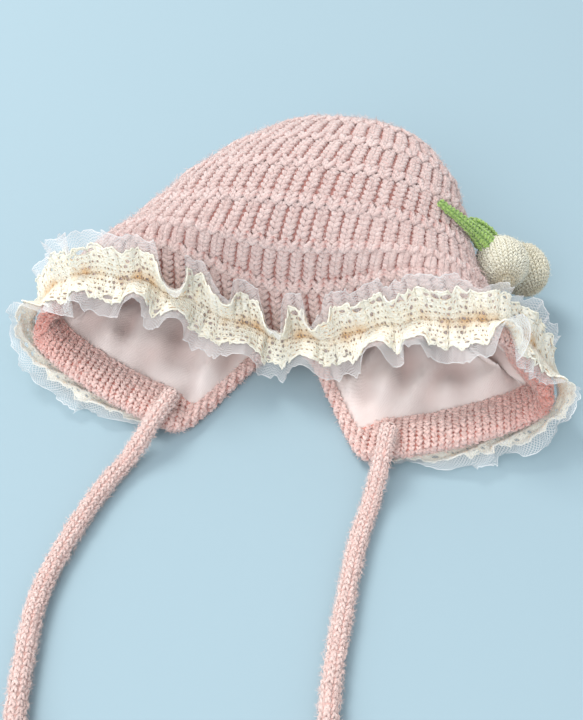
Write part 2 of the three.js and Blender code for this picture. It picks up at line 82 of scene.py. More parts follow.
def spline(points, spacing):
    """Even stations along a smooth curve through the points, and their runs."""
    points = np.asarray(points, float)
    guides = padded(points)
    t = np.linspace(0, 1, 12, endpoint=False)[:, None]
    fine = [between(t, *guides[k:k + 4]) for k in range(len(points) - 1)]
    fine = np.concatenate(fine + [points[-1:]])
    run = run_along(fine)
    even = np.linspace(0, run[-1], int(round(run[-1] / spacing)) + 1)
    return read_along(even, run, fine), even


def spread(*values):
    """The values as arrays of one shape."""
    return np.broadcast_arrays(*[np.asarray(v, float) for v in values])


def counted(*counts):
    """The numbers of a block's places along each of its axes."""
    return np.meshgrid(*[np.arange(n) for n in counts], indexing="ij")


def read_grid(field, rows, columns, *which):
    """A field (..., row, column, values) read at places between its rows and columns."""
    b = np.minimum(rows.astype(int), field.shape[-3] - 2)
    a = np.minimum(columns.astype(int), field.shape[-2] - 2)
    s, t = (columns - a)[..., None], (rows - b)[..., None]
    low, high = (mix(field[(*which, r, a)], field[(*which, r, a + 1)], s) for r in (b, b + 1))
    return mix(low, high, t)


# ---- meshes and objects
FLOOR_PRESS = 0.03  # what lies on the floor is pressed flat this far above it


def add_object(name, data):
    thing = bpy.data.objects.new(name, data)
    bpy.context.collection.objects.link(thing)
    return thing


def aim(thing, side, up, back, place):
    """Turns a camera or a lamp to its three axes and puts it in its place, in metres."""
    turn = np.eye(4)
    turn[:3] = np.stack([side, up, back, place], axis=1)
    thing.matrix_world = Matrix(turn.tolist())


def make_piece(name, shape, material, node=None):
    """A mesh from (points, quads, UVs per corner, tint per point), standing for a CAD node."""
    verts, quads, uv, tint = shape
    verts = np.array(verts)
    if node:
        verts[:, 2] = np.maximum(verts[:, 2], FLOOR_PRESS)
    mesh = bpy.data.meshes.new(name)
    quads = np.ascontiguousarray(quads, dtype=np.int32)
    mesh.vertices.add(len(verts))
    mesh.vertices.foreach_set("co", (verts * MM).astype(np.float32).ravel())
    mesh.loops.add(quads.size)
    mesh.loops.foreach_set("vertex_index", quads.ravel())
    mesh.polygons.add(len(quads))
    mesh.polygons.foreach_set("loop_start", np.arange(0, quads.size, 4, dtype=np.int32))
    mesh.update(calc_edges=True)
    mesh.uv_layers.new(name="UVMap").data.foreach_set("uv", np.asarray(uv, np.float32).ravel())
    shade = mesh.attributes.new("tint", "FLOAT", "POINT")
    shade.data.foreach_set("value", np.asarray(tint, np.float32).ravel())
    mesh.polygons.foreach_set("use_smooth", np.ones(len(quads), dtype=bool))
    mesh.materials.append(material)
    piece = add_object(name, mesh)
    if node:
        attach(piece, "root")
        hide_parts(node)
    return piece


def join_parts(parts):
    """Stacks shapes, (points, quads, ...), into one."""
    offset, stacked = 0, []
    for points, quads, *rest in parts:
        stacked.append((points, quads + offset, *rest))
        offset += len(points)
    return [np.concatenate(values) for values in zip(*stacked)]


def four_round(value, r, c):
    """A value at the four corners of each cell of a net, in turn."""
    return [value(r, c), value(r, c + 1), value(r + 1, c + 1), value(r + 1, c)]


def sweep(centres, normals, girth, sides=6, tint=0.0, flat=0.92):
    """Tapered oval strands, one for each row of centres (strand, station, xyz)."""
    count, stations, _ = centres.shape
    tangent = unit(np.gradient(centres, axis=1))
    across = unit(np.cross(tangent, normals))
    upright = np.cross(across, tangent)
    angle = math.tau * (np.arange(sides) + 0.5) / sides
    girth = np.asarray(girth)[..., None, None]
    ring = across[:, :, None] * np.cos(angle)[:, None]
    ring = ring + upright[:, :, None] * np.sin(angle)[:, None] * flat
    verts = (centres[:, :, None] + ring * girth).reshape(-1, 3)
    strand, k, j = counted(count, stations - 1, sides)
    steps = size(np.diff(centres, axis=1))
    run = np.concatenate([np.zeros((count, 1)), np.cumsum(steps, axis=1)], axis=1)

    def index(jj, kk):
        return (strand * stations + kk) * sides + jj % sides

    def corner(jj, kk):
        return np.stack([jj / sides, run[strand, kk]], -1)

    quads = np.stack(four_round(index, j, k), -1).reshape(-1, 4)
    uv = np.stack(four_round(corner, j, k), -2).reshape(-1, 2)
    shade = np.repeat(np.broadcast_to(tint, (count, stations)).reshape(-1), sides)
    return verts, quads, uv, shade


def grid_sheet(points, closed=False, u_run=None, v_run=None, tint=0.0):
    """A sheet over points (row, column, xyz); its UVs are the runs given for columns and rows."""
    rows, cols, _ = points.shape
    u_run = np.arange(cols + 1.0) if u_run is None else np.append(u_run, 2 * u_run[-1] - u_run[-2])
    v_run = np.arange(float(rows)) if v_run is None else v_run
    r, c = counted(rows - 1, cols - (not closed))

    def index(rr, cc):
        return rr * cols + cc % cols

    def corner(rr, cc):
        return np.stack([u_run[cc], v_run[rr]], -1)

    quads = np.stack(four_round(index, r, c), -1).reshape(-1, 4)
    uv = np.stack(four_round(corner, r, c), -2).reshape(-1, 2)
    return points.reshape(-1, 3), quads, uv, np.broadcast_to(tint, (rows, cols)).reshape(-1)


# ---- knitting
# One leg of a stitch, from the foot of its V outwards: share of the rib's width across, share
# of a row up, height in rows, and girth in rows. A roof leg closes a rib at the top.
V_LEG = np.array([
    [-0.03, -0.22, -0.10, 0.32],
    [0.12, 0.20, 0.18, 0.46],
    [0.29, 0.62, 0.06, 0.44],
    [0.43, 0.96, -0.50, 0.24],
])
ROOF_LEG = np.array([
    [0.56, -0.75, 0.00, 0.32],
    [0.38, -0.30, 0.22, 0.42],
    [0.18, 0.28, 0.26, 0.42],
    [-0.03, 0.75, 0.08, 0.32],
])


def stitches(place, turn, run, columns, row, leg=V_LEG, lift=0.0, sides=5, wild=0.06, fat=1.0):
    """Both legs of each stitch on a skin. place(turn, run, out) gives the skin's points."""
    turn, run, columns, row, lift = (v[:, None] for v in spread(turn, run, columns, row, lift))
    parts = []
    for side in (-1, 1):
        jitter = rng.normal(0, wild, turn.shape)
        a = turn + side * (leg[:, 0] + 0.3 * jitter) / columns
        v = run + (leg[:, 1] + jitter) * row
        width = size(place(turn + 0.5 / columns, run, 0) - place(turn - 0.5 / columns, run, 0))
        slim = np.clip(width / (1.9 * row), 0.35, 1.05)
        out = (leg[:, 2] + lift + rng.normal(0, wild, turn.shape)) * row
        centres = place(a, v, out)
        normals = unit(place(a, v, out + 1) - centres)
        girth = leg[:, 3] * row * slim * fat * (1 + rng.normal(0, wild, turn.shape))
        # painted shade: each leg deepens toward its outer end, where it dips under the next stitch; the
        # noise adds a little random tone
        tint = np.array([0.06, 0.0, 0.12, 0.9]) + np.abs(rng.normal(0, 0.06, turn.shape))
        parts.append(sweep(centres, normals, girth, sides, tint))
    return join_parts(parts)


FIBRE_WIDTH = 0.15


def fuzz(place, turn, run, out, reach):
    """Fine loose fibres standing off the wool, each one narrow tapered ribbon."""
    base = place(turn, run, out)
    normal = unit(place(turn, run, out + 1) - base)
    count = len(base)
    sideways = unit(np.cross(normal, rng.normal(size=(count, 3))))
    length = (reach * np.clip(rng.lognormal(0, 0.4, count), 0.4, 1.6))[:, None]
    tip = base + length * (0.75 * sideways + rng.uniform(0.0, 0.65, (count, 1)) * normal)
    wide = unit(np.cross(tip - base, rng.normal(size=(count, 3)))) * FIBRE_WIDTH / 2
    points = np.stack([base - wide, base + wide, tip + wide * 0.5, tip - wide * 0.5], axis=1)
    points = points.reshape(-1, 3)
    quads = np.arange(count)[:, None] * 4 + [0, 1, 2, 3]
    return points, quads, np.full((quads.size, 2), 0.25), np.zeros(len(points))


class Tube:
    """The skin of a tube along a route, with its own radius at each place."""

    def __init__(self, route, radii, up=(0, 0, 1), spacing=0.6):
        self.points, self.run = spline(route, spacing)
        self.length = self.run[-1]
        self.ahead = unit(np.gradient(self.points, axis=0))
        side = unit(np.cross(self.ahead[0], up))
        sides = []
        for ahead in self.ahead:
            side = unit(side - ahead * (side @ ahead))
            sides.append(side)
        self.side = np.array(sides)
        self.up = np.cross(self.side, self.ahead)
        self.radii = radii

    def place(self, turn, run, out):
        turn, run, out = spread(turn, run, out)
        held = np.clip(run, 0, self.length)
        point, ahead, side, up = (read_along(held, self.run, v)
                                  for v in (self.points, self.ahead, self.side, self.up))
        radius = self.radius_at(held) + out
        angle = math.tau * turn
        point = point + ahead * (run - held)[..., None] + side * (radius * np.cos(angle))[..., None]
        return point + up * (radius * np.sin(angle))[..., None]

    def radius_at(self, run):
        return np.interp(run / self.length, np.linspace(0, 1, len(self.radii)), self.radii)

    def knit(self, columns, row, **settings):
        rows = int(round(self.length / row))
        k, column = counted(rows, columns)
        run = k.ravel() * self.length / rows
        return stitches(self.place, (column.ravel() + 0.5) / columns, run, columns, row, **settings)

    def core(self, share, sides=12, tint=0.7):
        """The inside, a sheet painted toward the deeper colour as painted shade, seen between the
        stitches.
        """
        turn = np.linspace(0, 1, sides, endpoint=False)
        runs = self.run[::3, None]
        skin = self.place(turn, runs, self.radius_at(runs) * (share - 1))
        return grid_sheet(skin, closed=True, tint=tint)


# ---- materials
BUMP_DEPTH = 0.0005  # metres


class Nodes:
    """A short way to write a material's nodes."""

    def __init__(self, name):
        self.material = bpy.data.materials.new(name)
        self.material.use_nodes = True
        self.tree = self.material.node_tree
        self.shader = self.tree.nodes["Principled BSDF"]
        self.output = self.tree.nodes["Material Output"]

    def put(self, socket, value):
        if isinstance(value, bpy.types.NodeSocket):
            self.tree.links.new(value, socket)
        else:
            socket.default_value = value

    def add(self, kind, inputs=None, **settings):
        node = self.tree.nodes.new("ShaderNode" + kind)
        for key, value in settings.items():
            setattr(node, key, value)
        for key, value in (inputs or {}).items():
            self.put(node.inputs[key], value)
        return node

    def math(self, operation, a, b=0.0, c=0.0):
        return self.add("Math", {0: a, 1: b, 2: c}, operation=operation).outputs[0]

    def times(self, a, b):
        return self.math("MULTIPLY", a, b)

    def blend(self, factor, a, b):
        node = self.add("Mix", data_type="RGBA")
        for socket, value in ((0, factor), (6, a), (7, b)):
            self.put(node.inputs[socket], value)
        return node.outputs[2]

    def where(self, kind):
        return self.add("TexCoord").outputs[kind]

    def noise(self, scale, detail=3.0, rough=0.55):
        inputs = {"Vector": self.where("Object"), "Scale": scale, "Detail": detail, "Roughness": rough}
        return self.add("TexNoise", inputs).outputs[0]

    def mottled(self, scale, contrast, offset, a, b):
        return self.blend(self.math("MULTIPLY_ADD", self.noise(scale), contrast, offset), a, b)

    # the tint attribute: how far a point is painted toward the deeper colour, as painted shade, with a
    # little random tone in the stitches
    def tint(self):
        return self.add("Attribute", attribute_name="tint").outputs["Fac"]

    def uv(self):
        split = self.add("SeparateXYZ", {0: self.where("UV")})
        return split.outputs[0], split.outputs[1]

    def paint(self, colour):
        self.put(self.shader.inputs["Base Color"], colour)

    def bump(self, height, strength):
        node = self.add("Bump", {"Height": height, "Strength": strength, "Distance": BUMP_DEPTH})
        self.put(self.shader.inputs["Normal"], node.outputs[0])

    def gloss(self, *values):
        """Roughness, specular level, and the sheen's weight, roughness and colour."""
        names = ("Roughness", "Specular IOR Level", "Sheen Weight", "Sheen Roughness", "Sheen Tint")
        for name, value in zip(names, values):
            self.shader.inputs[name].default_value = value


def srgb(r, g, b):
    """A colour from its display values, 0 to 255."""
    values = [v / 255 for v in (r, g, b)]
    return (*[v / 12.92 if v <= 0.04 else ((v + 0.055) / 1.055) ** 2.4 for v in values], 1.0)


PLIES, PLY_TURNS = 2, 5.2  # the yarn's plies, and how fast they turn in radians a millimetre


def wool(name, light, deep, halo):
    """Soft spun yarn: plied along each strand, mottled, with painted shade where a strand dips under.
    """
    n = Nodes(name)
    u, v = n.uv()
    turn = n.math("ADD", n.times(u, PLIES * math.tau), n.times(v, PLY_TURNS))
    ply = n.math("SINE", turn)
    fibres = n.noise(2600, 4.0, 0.7)
    base = n.mottled(260, 0.45, -0.08, light, deep)
    base = n.blend(n.times(n.math("SUBTRACT", 0.60, fibres), 0.55), base, deep)
    # painted shade: the tint deepens the colour where strands dip under, in cores and in hollows
    base = n.blend(n.math("MINIMUM", n.tint(), 1.0), base, deep)
    n.paint(base)
    n.gloss(0.95, 0.1, 1.0, 0.4, halo)
    n.bump(n.math("ADD", n.times(ply, 0.35), n.times(fibres, 1.3)), 0.8)
    return n.material


def backing(name, colour):
    """Painted shade between the stitches: a darker sheet behind them."""
    n = Nodes(name)
    darker = (*[c * 0.7 for c in colour[:3]], 1)
    n.paint(n.blend(n.noise(900), colour, darker))
    n.gloss(1.0, 0.1, 0.2, 0.6, colour)
    n.bump(n.noise(2200, 4.0), 0.5)
    return n.material


PINK = wool("pink_wool", srgb(247, 227, 221), srgb(184, 118, 108), (1, 0.97, 0.96, 1))
BAND_PINK = wool("band_wool", srgb(255, 229, 221), srgb(228, 150, 137), (1, 0.93, 0.90, 1))
TIE_PINK = wool("tie_wool", srgb(255, 232, 224), srgb(236, 186, 176), (1, 0.95, 0.93, 1))
CREAM = wool("cream_wool", srgb(255, 255, 240), srgb(228, 204, 152), (1, 1, 0.95, 1))
# a darker copy of the cream wool, for the rear bud: painted shade
CREAM_PAINTED_SHADE = wool("cream_wool_painted_shade", srgb(255, 251, 232), srgb(210, 188, 138), (1, 1, 0.9, 1))
GREEN = wool("green_wool", srgb(190, 224, 128), srgb(120, 170, 72), (0.85, 1, 0.7, 1))
PINK_BACK = backing("pink_shade", srgb(192, 138, 129))
BAND_BACK = backing("band_shade", srgb(234, 162, 149))

# ---- camera
LENS, SENSOR = 42.5, 36.0
AZIMUTH, ELEVATION = math.radians(10), math.radians(50)
# A place near the cap's middle, how far off it the camera is, and how far right of the view's
# middle and above it that place shows, as a share of that distance.
AIM = np.array([3.5, -60.0, 20.0])
AIM_DEPTH, AIM_RIGHT, AIM_ABOVE = 375.0, 0.0065, 0.0271


def make_camera():
    right = np.array([math.cos(AZIMUTH), math.sin(AZIMUTH), 0.0])
    level = np.array([-math.sin(AZIMUTH), math.cos(AZIMUTH), 0.0])
    forward = level * math.cos(ELEVATION) - np.array([0, 0, math.sin(ELEVATION)])
    up = np.cross(right, forward)
    place = AIM - AIM_DEPTH * (forward + AIM_RIGHT * right + AIM_ABOVE * up)
    data = bpy.data.cameras.new("camera")
    data.sensor_width, data.lens = SENSOR, LENS
    data.clip_start, data.clip_end = 0.01, 20
    camera = add_object("camera", data)
    aim(camera, right, up, -forward, place * MM)
    bpy.context.scene.camera = camera


make_camera()

# ---- ties
# Each tie's route, from inside the flap's tip, over the band, down to the floor and along it.
TIE_CORE, TIE_COLUMNS, TIE_ROW = 2.85, 7, 2.3
TIE_FUZZ = 34  # loose fibres a millimetre of tie
TIE_LEFT = [
    (-44.5, -95.5, 13.8), (-46, -102, 14), (-48.3, -108.5, 13.7), (-51, -114.5, 10.4),
    (-54, -121, 6.6), (-57, -127, 4.6), (-59.8, -133.5, 4.2), (-62.7, -141.5, 4.2), (-65.6, -152, 4.2),
    (-68, -163, 4.2), (-69.9, -174, 4.2), (-71, -184, 4.2), (-70.8, -193.5, 4.2), (-69.4, -203, 4.2),
    (-67.8, -212, 4.2), (-65.9, -221, 4.2), (-63.7, -230, 4.2), (-61.4, -238, 4.2),
]
TIE_RIGHT = [
    (48.4, -97.5, 13.8), (48, -103.5, 14), (47.5, -109, 13.2), (46.9, -115, 10.2), (46.1, -121.5, 6.4),
    (45.2, -127.5, 4.6), (44.3, -133.5, 4.2), (43, -141, 4.2), (41.9, -150, 4.2), (41.2, -159.5, 4.2),
    (40.8, -169, 4.2), (40.3, -179, 4.2), (40, -189, 4.2), (39.9, -199, 4.2), (40.3, -209, 4.2),
    (41, -219, 4.2),
]
KNOT_LENGTH, KNOT_HEIGHT, KNOT_GAP = 17.0, 5.6, 0.35
KNOT_WIDE, KNOT_LONG, KNOT_DEEP = 1.35, 1.75, 2.0  # scales of the knot's three-lobed loop


def end_cap(point, ahead, side, up, radius):
    """A rounded end for a tie, closing its tube."""
    turn = np.linspace(0, math.tau, 12, endpoint=False)[None, :, None]
    bend = np.linspace(0, math.pi / 2, 5)[:, None, None]
    ring = side * np.cos(turn) + up * np.sin(turn)
    dome = point + radius * (ring * np.cos(bend) - ahead * 0.6 * np.sin(bend))
    return grid_sheet(dome, closed=True, tint=0.4)


def knot_shape(end, ahead):
    """An overhand knot just past a tie's end: its loop, and the tie running in and out of it."""
    side = np.cross([0, 0, 1], ahead)
    centre = end + ahead * (KNOT_LENGTH / 2 + KNOT_GAP)
    centre[2] = KNOT_HEIGHT
    t = np.linspace(0, math.tau, 49)[:, None]
    loop = centre + side * KNOT_WIDE * (np.sin(t) + 2 * np.sin(2 * t))
    loop = loop + ahead * KNOT_LONG * (np.cos(t) - 2 * np.cos(2 * t))
    loop = loop - np.array([0, 0, KNOT_DEEP]) * np.sin(3 * t)
    tail = [centre + ahead * 3, centre + ahead * 6 - [0, 0, 1.2], centre + ahead * 8.4 - [0, 0, 2.2]]
    lead = [end - ahead * 0.6, end + ahead * 2 + [0, 0, 0.3], centre - ahead * 3]
    parts = []
    for route, radius in ((loop, 2.2), (tail, 2.5), (lead, 2.6)):
        tube = Tube(route, [radius, radius], up=(0.3, 0.2, 1))
        parts += [tube.knit(6, 2.2), tube.core(0.98, tint=0.5)]
    out = unit(tail[-1] - tail[-2])
    across = unit(np.cross(out, [0, 0, 1.0]))
    parts.append(end_cap(tail[-1], -out, across, np.cross(across, out), 3.0))
    return join_parts(parts)


def make_tie(side, route):
    tube = Tube(route, [TIE_CORE, TIE_CORE], spacing=1.0)
    count = int(TIE_FUZZ * tube.length)
    turn = rng.uniform(0, 1, count)
    loose = fuzz(tube.place, turn, rng.uniform(0, tube.length, count), 0.9, 1.7)
    cap = end_cap(tube.points[0], tube.ahead[0], tube.side[0], tube.up[0], 3.3)
    knit = tube.knit(TIE_COLUMNS, TIE_ROW, fat=1.05, wild=0.08)
    shape = join_parts([knit, tube.core(1.0), cap, loose])
    tie = make_piece("tie_cord_" + side, shape, TIE_PINK, "tie_" + side)
    knot = knot_shape(tube.points[-1], unit(tube.ahead[-1] * np.array([1, 1, 0])))
    name = "tie_cord_" + side + "_knot"
    knot_piece = make_piece(name, knot, TIE_PINK, "tie_knot_" + side)


make_tie("left", TIE_LEFT)
make_tie("right", TIE_RIGHT)

# ---- the cap's surface
ORIGIN_BACK = 60
CROWN_RISE = 156
FACE_BAND, NAPE_BAND = 16, 5
HEM_TURN = 7
FLAP_LENGTH, FLAP_TIP_X = 57, 48
CORNER_ROUNDING, TIP_ROUNDING = 2.5, 3
FLAP_LIFT = 3.2
SEAM_SINK = 0.8
FRONT_POWER, BACK_POWER = 2.45, 2.8
HUMP_HEIGHT, HUMP_FADE, HUMP_SCALE = 27, 62, 6.75
NORMAL_REACH, CORNER_REACH = 0.012, 0.17
LEVELS, AROUNDS = 209, 241

# up, frontY, frontZ, sideX, sideY, sideZ, backY, backZ, lean
SECTIONS = np.array([
    [0, 0, 20, 115, -6, 15, 9, 1.5, 0],
    [20, 12.5, 39, 99.5, 12, 24, 28, 0, -4.5],
    [39, 19, 57, 88, 29, 30, 47, 0, -3.5],
    [59, 33, 70.5, 76.5, 46, 34, 66, 0, -0.5],
    [78, 52, 76, 68, 62, 37, 84, 0, 3.5],
    [97, 71, 76, 58.5, 78, 39, 101, 1, 8],
    [117, 91, 72, 45, 94, 40, 117, 7, 11.5],
    [137, 107, 61, 25, 108, 41, 124, 20, 13],
    [156, 118, 43, 0.02, 119, 42.5, 120, 42, 14],
], dtype=float)
CROWDING_UP, CROWDING = [0, 60, 117, 156], [0, 0.12, 0.22, 0]


def section_at(up):
    ups = SECTIONS[:, 0]
    row = int(np.clip(np.searchsorted(ups, up) - 1, 0, len(ups) - 2))
    t = (up - ups[row]) / (ups[row + 1] - ups[row])
    return between(t, *padded(SECTIONS)[row:row + 4])[1:]


def half_loop(up, side):
    front_y, front_z, side_x, side_y, side_z, back_y, back_z, lean = section_at(up)
    fade = max(1 - up / HUMP_FADE, 0)
    hump = HUMP_HEIGHT * fade * fade * (3 - 2 * fade)
    angle = np.linspace(0, math.pi, 321)
    front = angle <= math.pi / 2 + 1e-9
    power = np.where(front, 2 / FRONT_POWER, 2 / BACK_POWER)
    along = np.abs(np.cos(angle)) ** power
    across = np.abs(np.sin(angle)) ** power
    y = side_y + (np.where(front, front_y, back_y) - side_y) * along
    z = side_z + (np.where(front, front_z, back_z) - side_z) * along
    z = z + np.where(front, hump * HUMP_SCALE * across ** 2 * (1 - across), 0)
    loop = np.stack([side * side_x * across + lean, y, np.maximum(z - SEAM_SINK, 0)], axis=1)
    run = run_along(loop)
    even = np.linspace(0, 1, AROUNDS)
    crowd = np.interp(up, CROWDING_UP, CROWDING)
    want = run[-1] * (even + crowd * np.sin(math.pi * even) / math.pi)
    return read_along(want, run, loop)


LOOPS = np.array([[half_loop(up, side) for up in CROWN_RISE * np.arange(LEVELS) / (LEVELS - 1)]
                  for side in (-1, 1)])
HEM_LINE = LOOPS[1, 0]
HALF_HEM = float(size(np.diff(HEM_LINE, axis=0)).sum())
WIDEST = int(np.argmax(HEM_LINE[:, 0]))
SIDE_AT = WIDEST / (AROUNDS - 1)
TIP_STATION = np.interp(-FLAP_TIP_X, -HEM_LINE[WIDEST:, 0], np.arange(WIDEST, AROUNDS))
TIP_AT = float(TIP_STATION) / (AROUNDS - 1)


def on_loops(around, up):
    """A place by how far round from the brow, -1 to 1 at the nape, and how far up the crown."""
    around, up = spread(around, up)
    column = np.clip(np.abs(around), 0, 1) * (AROUNDS - 1)
    row = np.clip(up, 0, CROWN_RISE) / CROWN_RISE * (LEVELS - 1)
    return read_grid(LOOPS, row, column, (around >= 0).astype(int))


def past_corner(around, before, over):
    """0 along the brow and 1 on the flap, turning over a stretch at the corner of the mouth."""
    return ease((np.abs(around) - SIDE_AT + before) / over)


def edge_at(around):
    """How far up the cap's edge is: below 0 it hangs past the loops, far down on the flaps."""
    a = np.abs(around)
    brow = HEM_TURN * (1 - ease((a - 0.3) / (SIDE_AT - 0.3)))
    past_side = (a - SIDE_AT) * HALF_HEM
    run = CORNER_ROUNDING * np.logaddexp(0, past_side / CORNER_ROUNDING)  # a rounded max with 0
    front = FLAP_LENGTH * np.sqrt(run / ((TIP_AT - SIDE_AT) * HALF_HEM))
    x = np.abs(on_loops(a, 0)[..., 0])
    nape = 1.02 * FLAP_LENGTH * ease(x / FLAP_TIP_X * 1.043) + 1
    both = -TIP_ROUNDING * np.logaddexp(-front / TIP_ROUNDING, -nape / TIP_ROUNDING)
    return -brow - np.where(a <= SIDE_AT, front, np.maximum(both, 0))


def flap_front(around):
    return past_corner(around, 0, 0.05) * (1 - ease((np.abs(around) - TIP_AT + 0.01) / 0.07))


def corner_at(around):
    return 1 - ease(np.abs(np.abs(around) - SIDE_AT - 0.02) / 0.12)


def band_width_at(around):
    return mix(FACE_BAND, NAPE_BAND, ease((np.abs(around) - TIP_AT - 0.005) / 0.05))


def surface(around, up):
    """The cap's outer surface, which runs on below the loops into the two flaps."""
    around, up = spread(around, up)
    around = (around + 1) % 2 - 1
    point = on_loops(around, up)
    below = np.maximum(-up, 0)[..., None]
    slope = unit(on_loops(around, 0 * up) - on_loops(around, 0 * up + 3))
    to_flap = past_corner(around, 0.12, 0.12)[..., None]
    point = point + unit(mix(slope, np.array([0, -1.0, 0]), to_flap)) * below
    near_edge = ease((20 - (up - edge_at(around))) / 16)
    point[..., 2] += FLAP_LIFT * flap_front(around) * near_edge
    point[..., 2] = np.maximum(point[..., 2], 0)
    point[..., 1] -= ORIGIN_BACK
    return point


def normal_at(around, up):
    around, up = spread(around, up)
    e = mix(NORMAL_REACH, CORNER_REACH, corner_at(around))
    high = np.minimum(up + 2, CROWN_RISE - 1)
    sideways = surface(around + e, up) - surface(around - e, up)
    upwards = surface(around, high) - surface(around, high - 4)
    return unit(np.cross(sideways, upwards))


def at_depth(around, up, depth):
    """A place so far inside the outer surface."""
    return surface(around, up) - normal_at(around, up) * np.asarray(depth)[..., None]


# ---- knitted crown
# how far inside the cap's outer surface the stitches' skin and the shade behind them are
KNIT_SINK, CROWN_BACK_DEPTH = 1.0, 1.25
RIB_PITCH = 5.5
ROW = 2.45
COURSES = [20, 39, 59, 78, 97, 117, 137, 154]
# each part's first course, the course after its last, and its count of loose fibres
CROWN_PARTS = (("brim", 0, 2, 10000), ("middle", 2, 4, 11000), ("top", 4, 8, 13000))
CROWN_FUZZ_OUT, CROWN_FUZZ_REACH = 1.5, 2.6
FIRST_ROW = 3.0  # from the cap's edge up to the first row of stitches
TUCK = -0.14  # lift, in rows, of a course's first row, which tucks under the roofs below
ROOFS = ((-0.42, 0.26), (0.38, 0.32))  # rise and lift, in rows, of the turned rows on a course


def crown_place(turn, up, out):
    return at_depth(2 * turn - 1, up, KNIT_SINK - np.asarray(out))


def course_ribs(low, high):
    loop = surface(np.linspace(-1, 1, 400), (low + high) / 2)
    return max(int(round(run_along(loop)[-1] / RIB_PITCH)), 10)


def crown_rows(first, last):
    """The stitches of the courses numbered first to last - 1."""
    parts = []
    for number in range(first, last):
        top = COURSES[number]
        bottom = COURSES[number - 1] if number else 4
        ribs = course_ribs(bottom, top)
        turn = (np.arange(ribs) + 0.25 + 0.5 * (number % 2)) / ribs
        start = np.full(ribs, bottom - 0.2 * ROW) if number else edge_at(2 * turn - 1) + FIRST_ROW
        room = top - 0.1 * ROW - start
        rows = np.maximum(np.round(room / ROW).astype(int), 2)
        steps = np.repeat(room / rows, rows)
        k = np.concatenate([np.arange(n) for n in rows])
        sunk = np.where((k == 0) & (number > 0), TUCK, 0.0)
        up = np.repeat(start, rows) + k * steps
        parts.append(stitches(crown_place, np.repeat(turn, rows), up, ribs, steps, lift=sunk))
        if number < len(COURSES) - 1:
            for rise, lift in ROOFS:
                up = top + rise * ROW
                parts.append(stitches(crown_place, turn, up, ribs, ROW, leg=ROOF_LEG, lift=lift))
    return join_parts(parts)


for part, first, last, count in CROWN_PARTS:
    low, high = (COURSES[first - 1] if first else 0), COURSES[last - 1]
    turn = rng.uniform(0, 1, count)
    loose = fuzz(crown_place, turn, rng.uniform(low, high, count), CROWN_FUZZ_OUT, CROWN_FUZZ_REACH)
    shape = join_parts([crown_rows(first, last), loose])
    make_piece("crown_knit_" + part, shape, PINK, "crown")

arounds = np.linspace(-1, 1, 241)[:-1]
shares = np.linspace(0, 1, 34)[:, None]
ups = mix(edge_at(arounds) + 1.5, CROWN_RISE - 2, shares ** 0.9)
back = at_depth(arounds, ups, CROWN_BACK_DEPTH)
make_piece("crown_backing", grid_sheet(back, closed=True), PINK_BACK, "crown")

# ---- knitted edge band
ROLL = 2.8  # radius of the turn at the cap's edge
BAND_OUTER = 3.5  # how far the band shows on the outside
BAND_PITCH, BAND_ROW = 3.2, 1.95
BAND_LENGTH = 1.06 * 2 * HALF_HEM  # the band's own run, out round the flaps
BAND_FUZZ, BAND_FUZZ_OUT, BAND_FUZZ_REACH = 22000, 0.9, 1.9
BEND_RUN, BEND_REACH, BEND_SHADE = 17.0, 20.0, 0.75


def band_place(turn, run, out):
    """The band's skin: run goes from the outside, round the edge and up the inside."""
    turn, run, out = spread(turn, run, out)
    around = 2 * turn - 1
    edge = edge_at(around)
    turned = np.clip(run / ROLL, 0, math.pi)[..., None]
    inside = np.maximum(run - math.pi * ROLL, 0)
    outside = np.maximum(-run, 0)
    up = edge + ROLL + inside
    normal = normal_at(around, up)
    down = unit(surface(around, edge) - surface(around, edge + 3))
    middle = surface(around, up) - normal * ROLL
    radial = normal * np.cos(turned) + down * np.sin(turned)
    return middle + radial * (ROLL + out)[..., None] - down * outside[..., None]


def band_knit():
    ribs = int(round(BAND_LENGTH / BAND_PITCH))
    turn = (np.arange(ribs) + 0.5) / ribs
    width = band_width_at(2 * turn - 1)
    rows = np.round((BAND_OUTER + math.pi * ROLL + width) / BAND_ROW).astype(int)
    k = np.concatenate([np.arange(n) for n in rows])
    run = k * BAND_ROW - BAND_OUTER
    turns = np.repeat(turn, rows)
    knit = stitches(band_place, turns, run, ribs, BAND_ROW, sides=4, wild=0.12, fat=1.14)
    # painted shade: the inside of the bend at each corner of the mouth is painted a deeper pink
    for side in (-1, 1):
        bend = band_place(0.5 + side * SIDE_AT / 2, BEND_RUN, 0.0)
        knit[3][:] += BEND_SHADE * np.exp(-(size(knit[0] - bend) / BEND_REACH) ** 2)
    turn, share = rng.uniform(0, 1, BAND_FUZZ), rng.uniform(0, 1, BAND_FUZZ)
    run = mix(-BAND_OUTER, math.pi * ROLL + band_width_at(2 * turn - 1), share)
    return join_parts([knit, fuzz(band_place, turn, run, BAND_FUZZ_OUT, BAND_FUZZ_REACH)])


make_piece("edge_band_knit", band_knit(), BAND_PINK, "edge_band")
shares = np.linspace(0, 1, 22)[:, None]
runs = mix(-BAND_OUTER, math.pi * ROLL + band_width_at(arounds) + 0.8, shares)
back = band_place((arounds + 1) / 2, runs, -0.4)
make_piece("edge_band_backing", grid_sheet(back, closed=True), BAND_BACK, "edge_band")

# ---- plush lining
LINING_DEPTH, LINING_LAP = 4.6, 2.0  # inside the cap's surface, and under the band
FOLD_DEPTH, CREASE_DEPTH = 2.5, 2.6


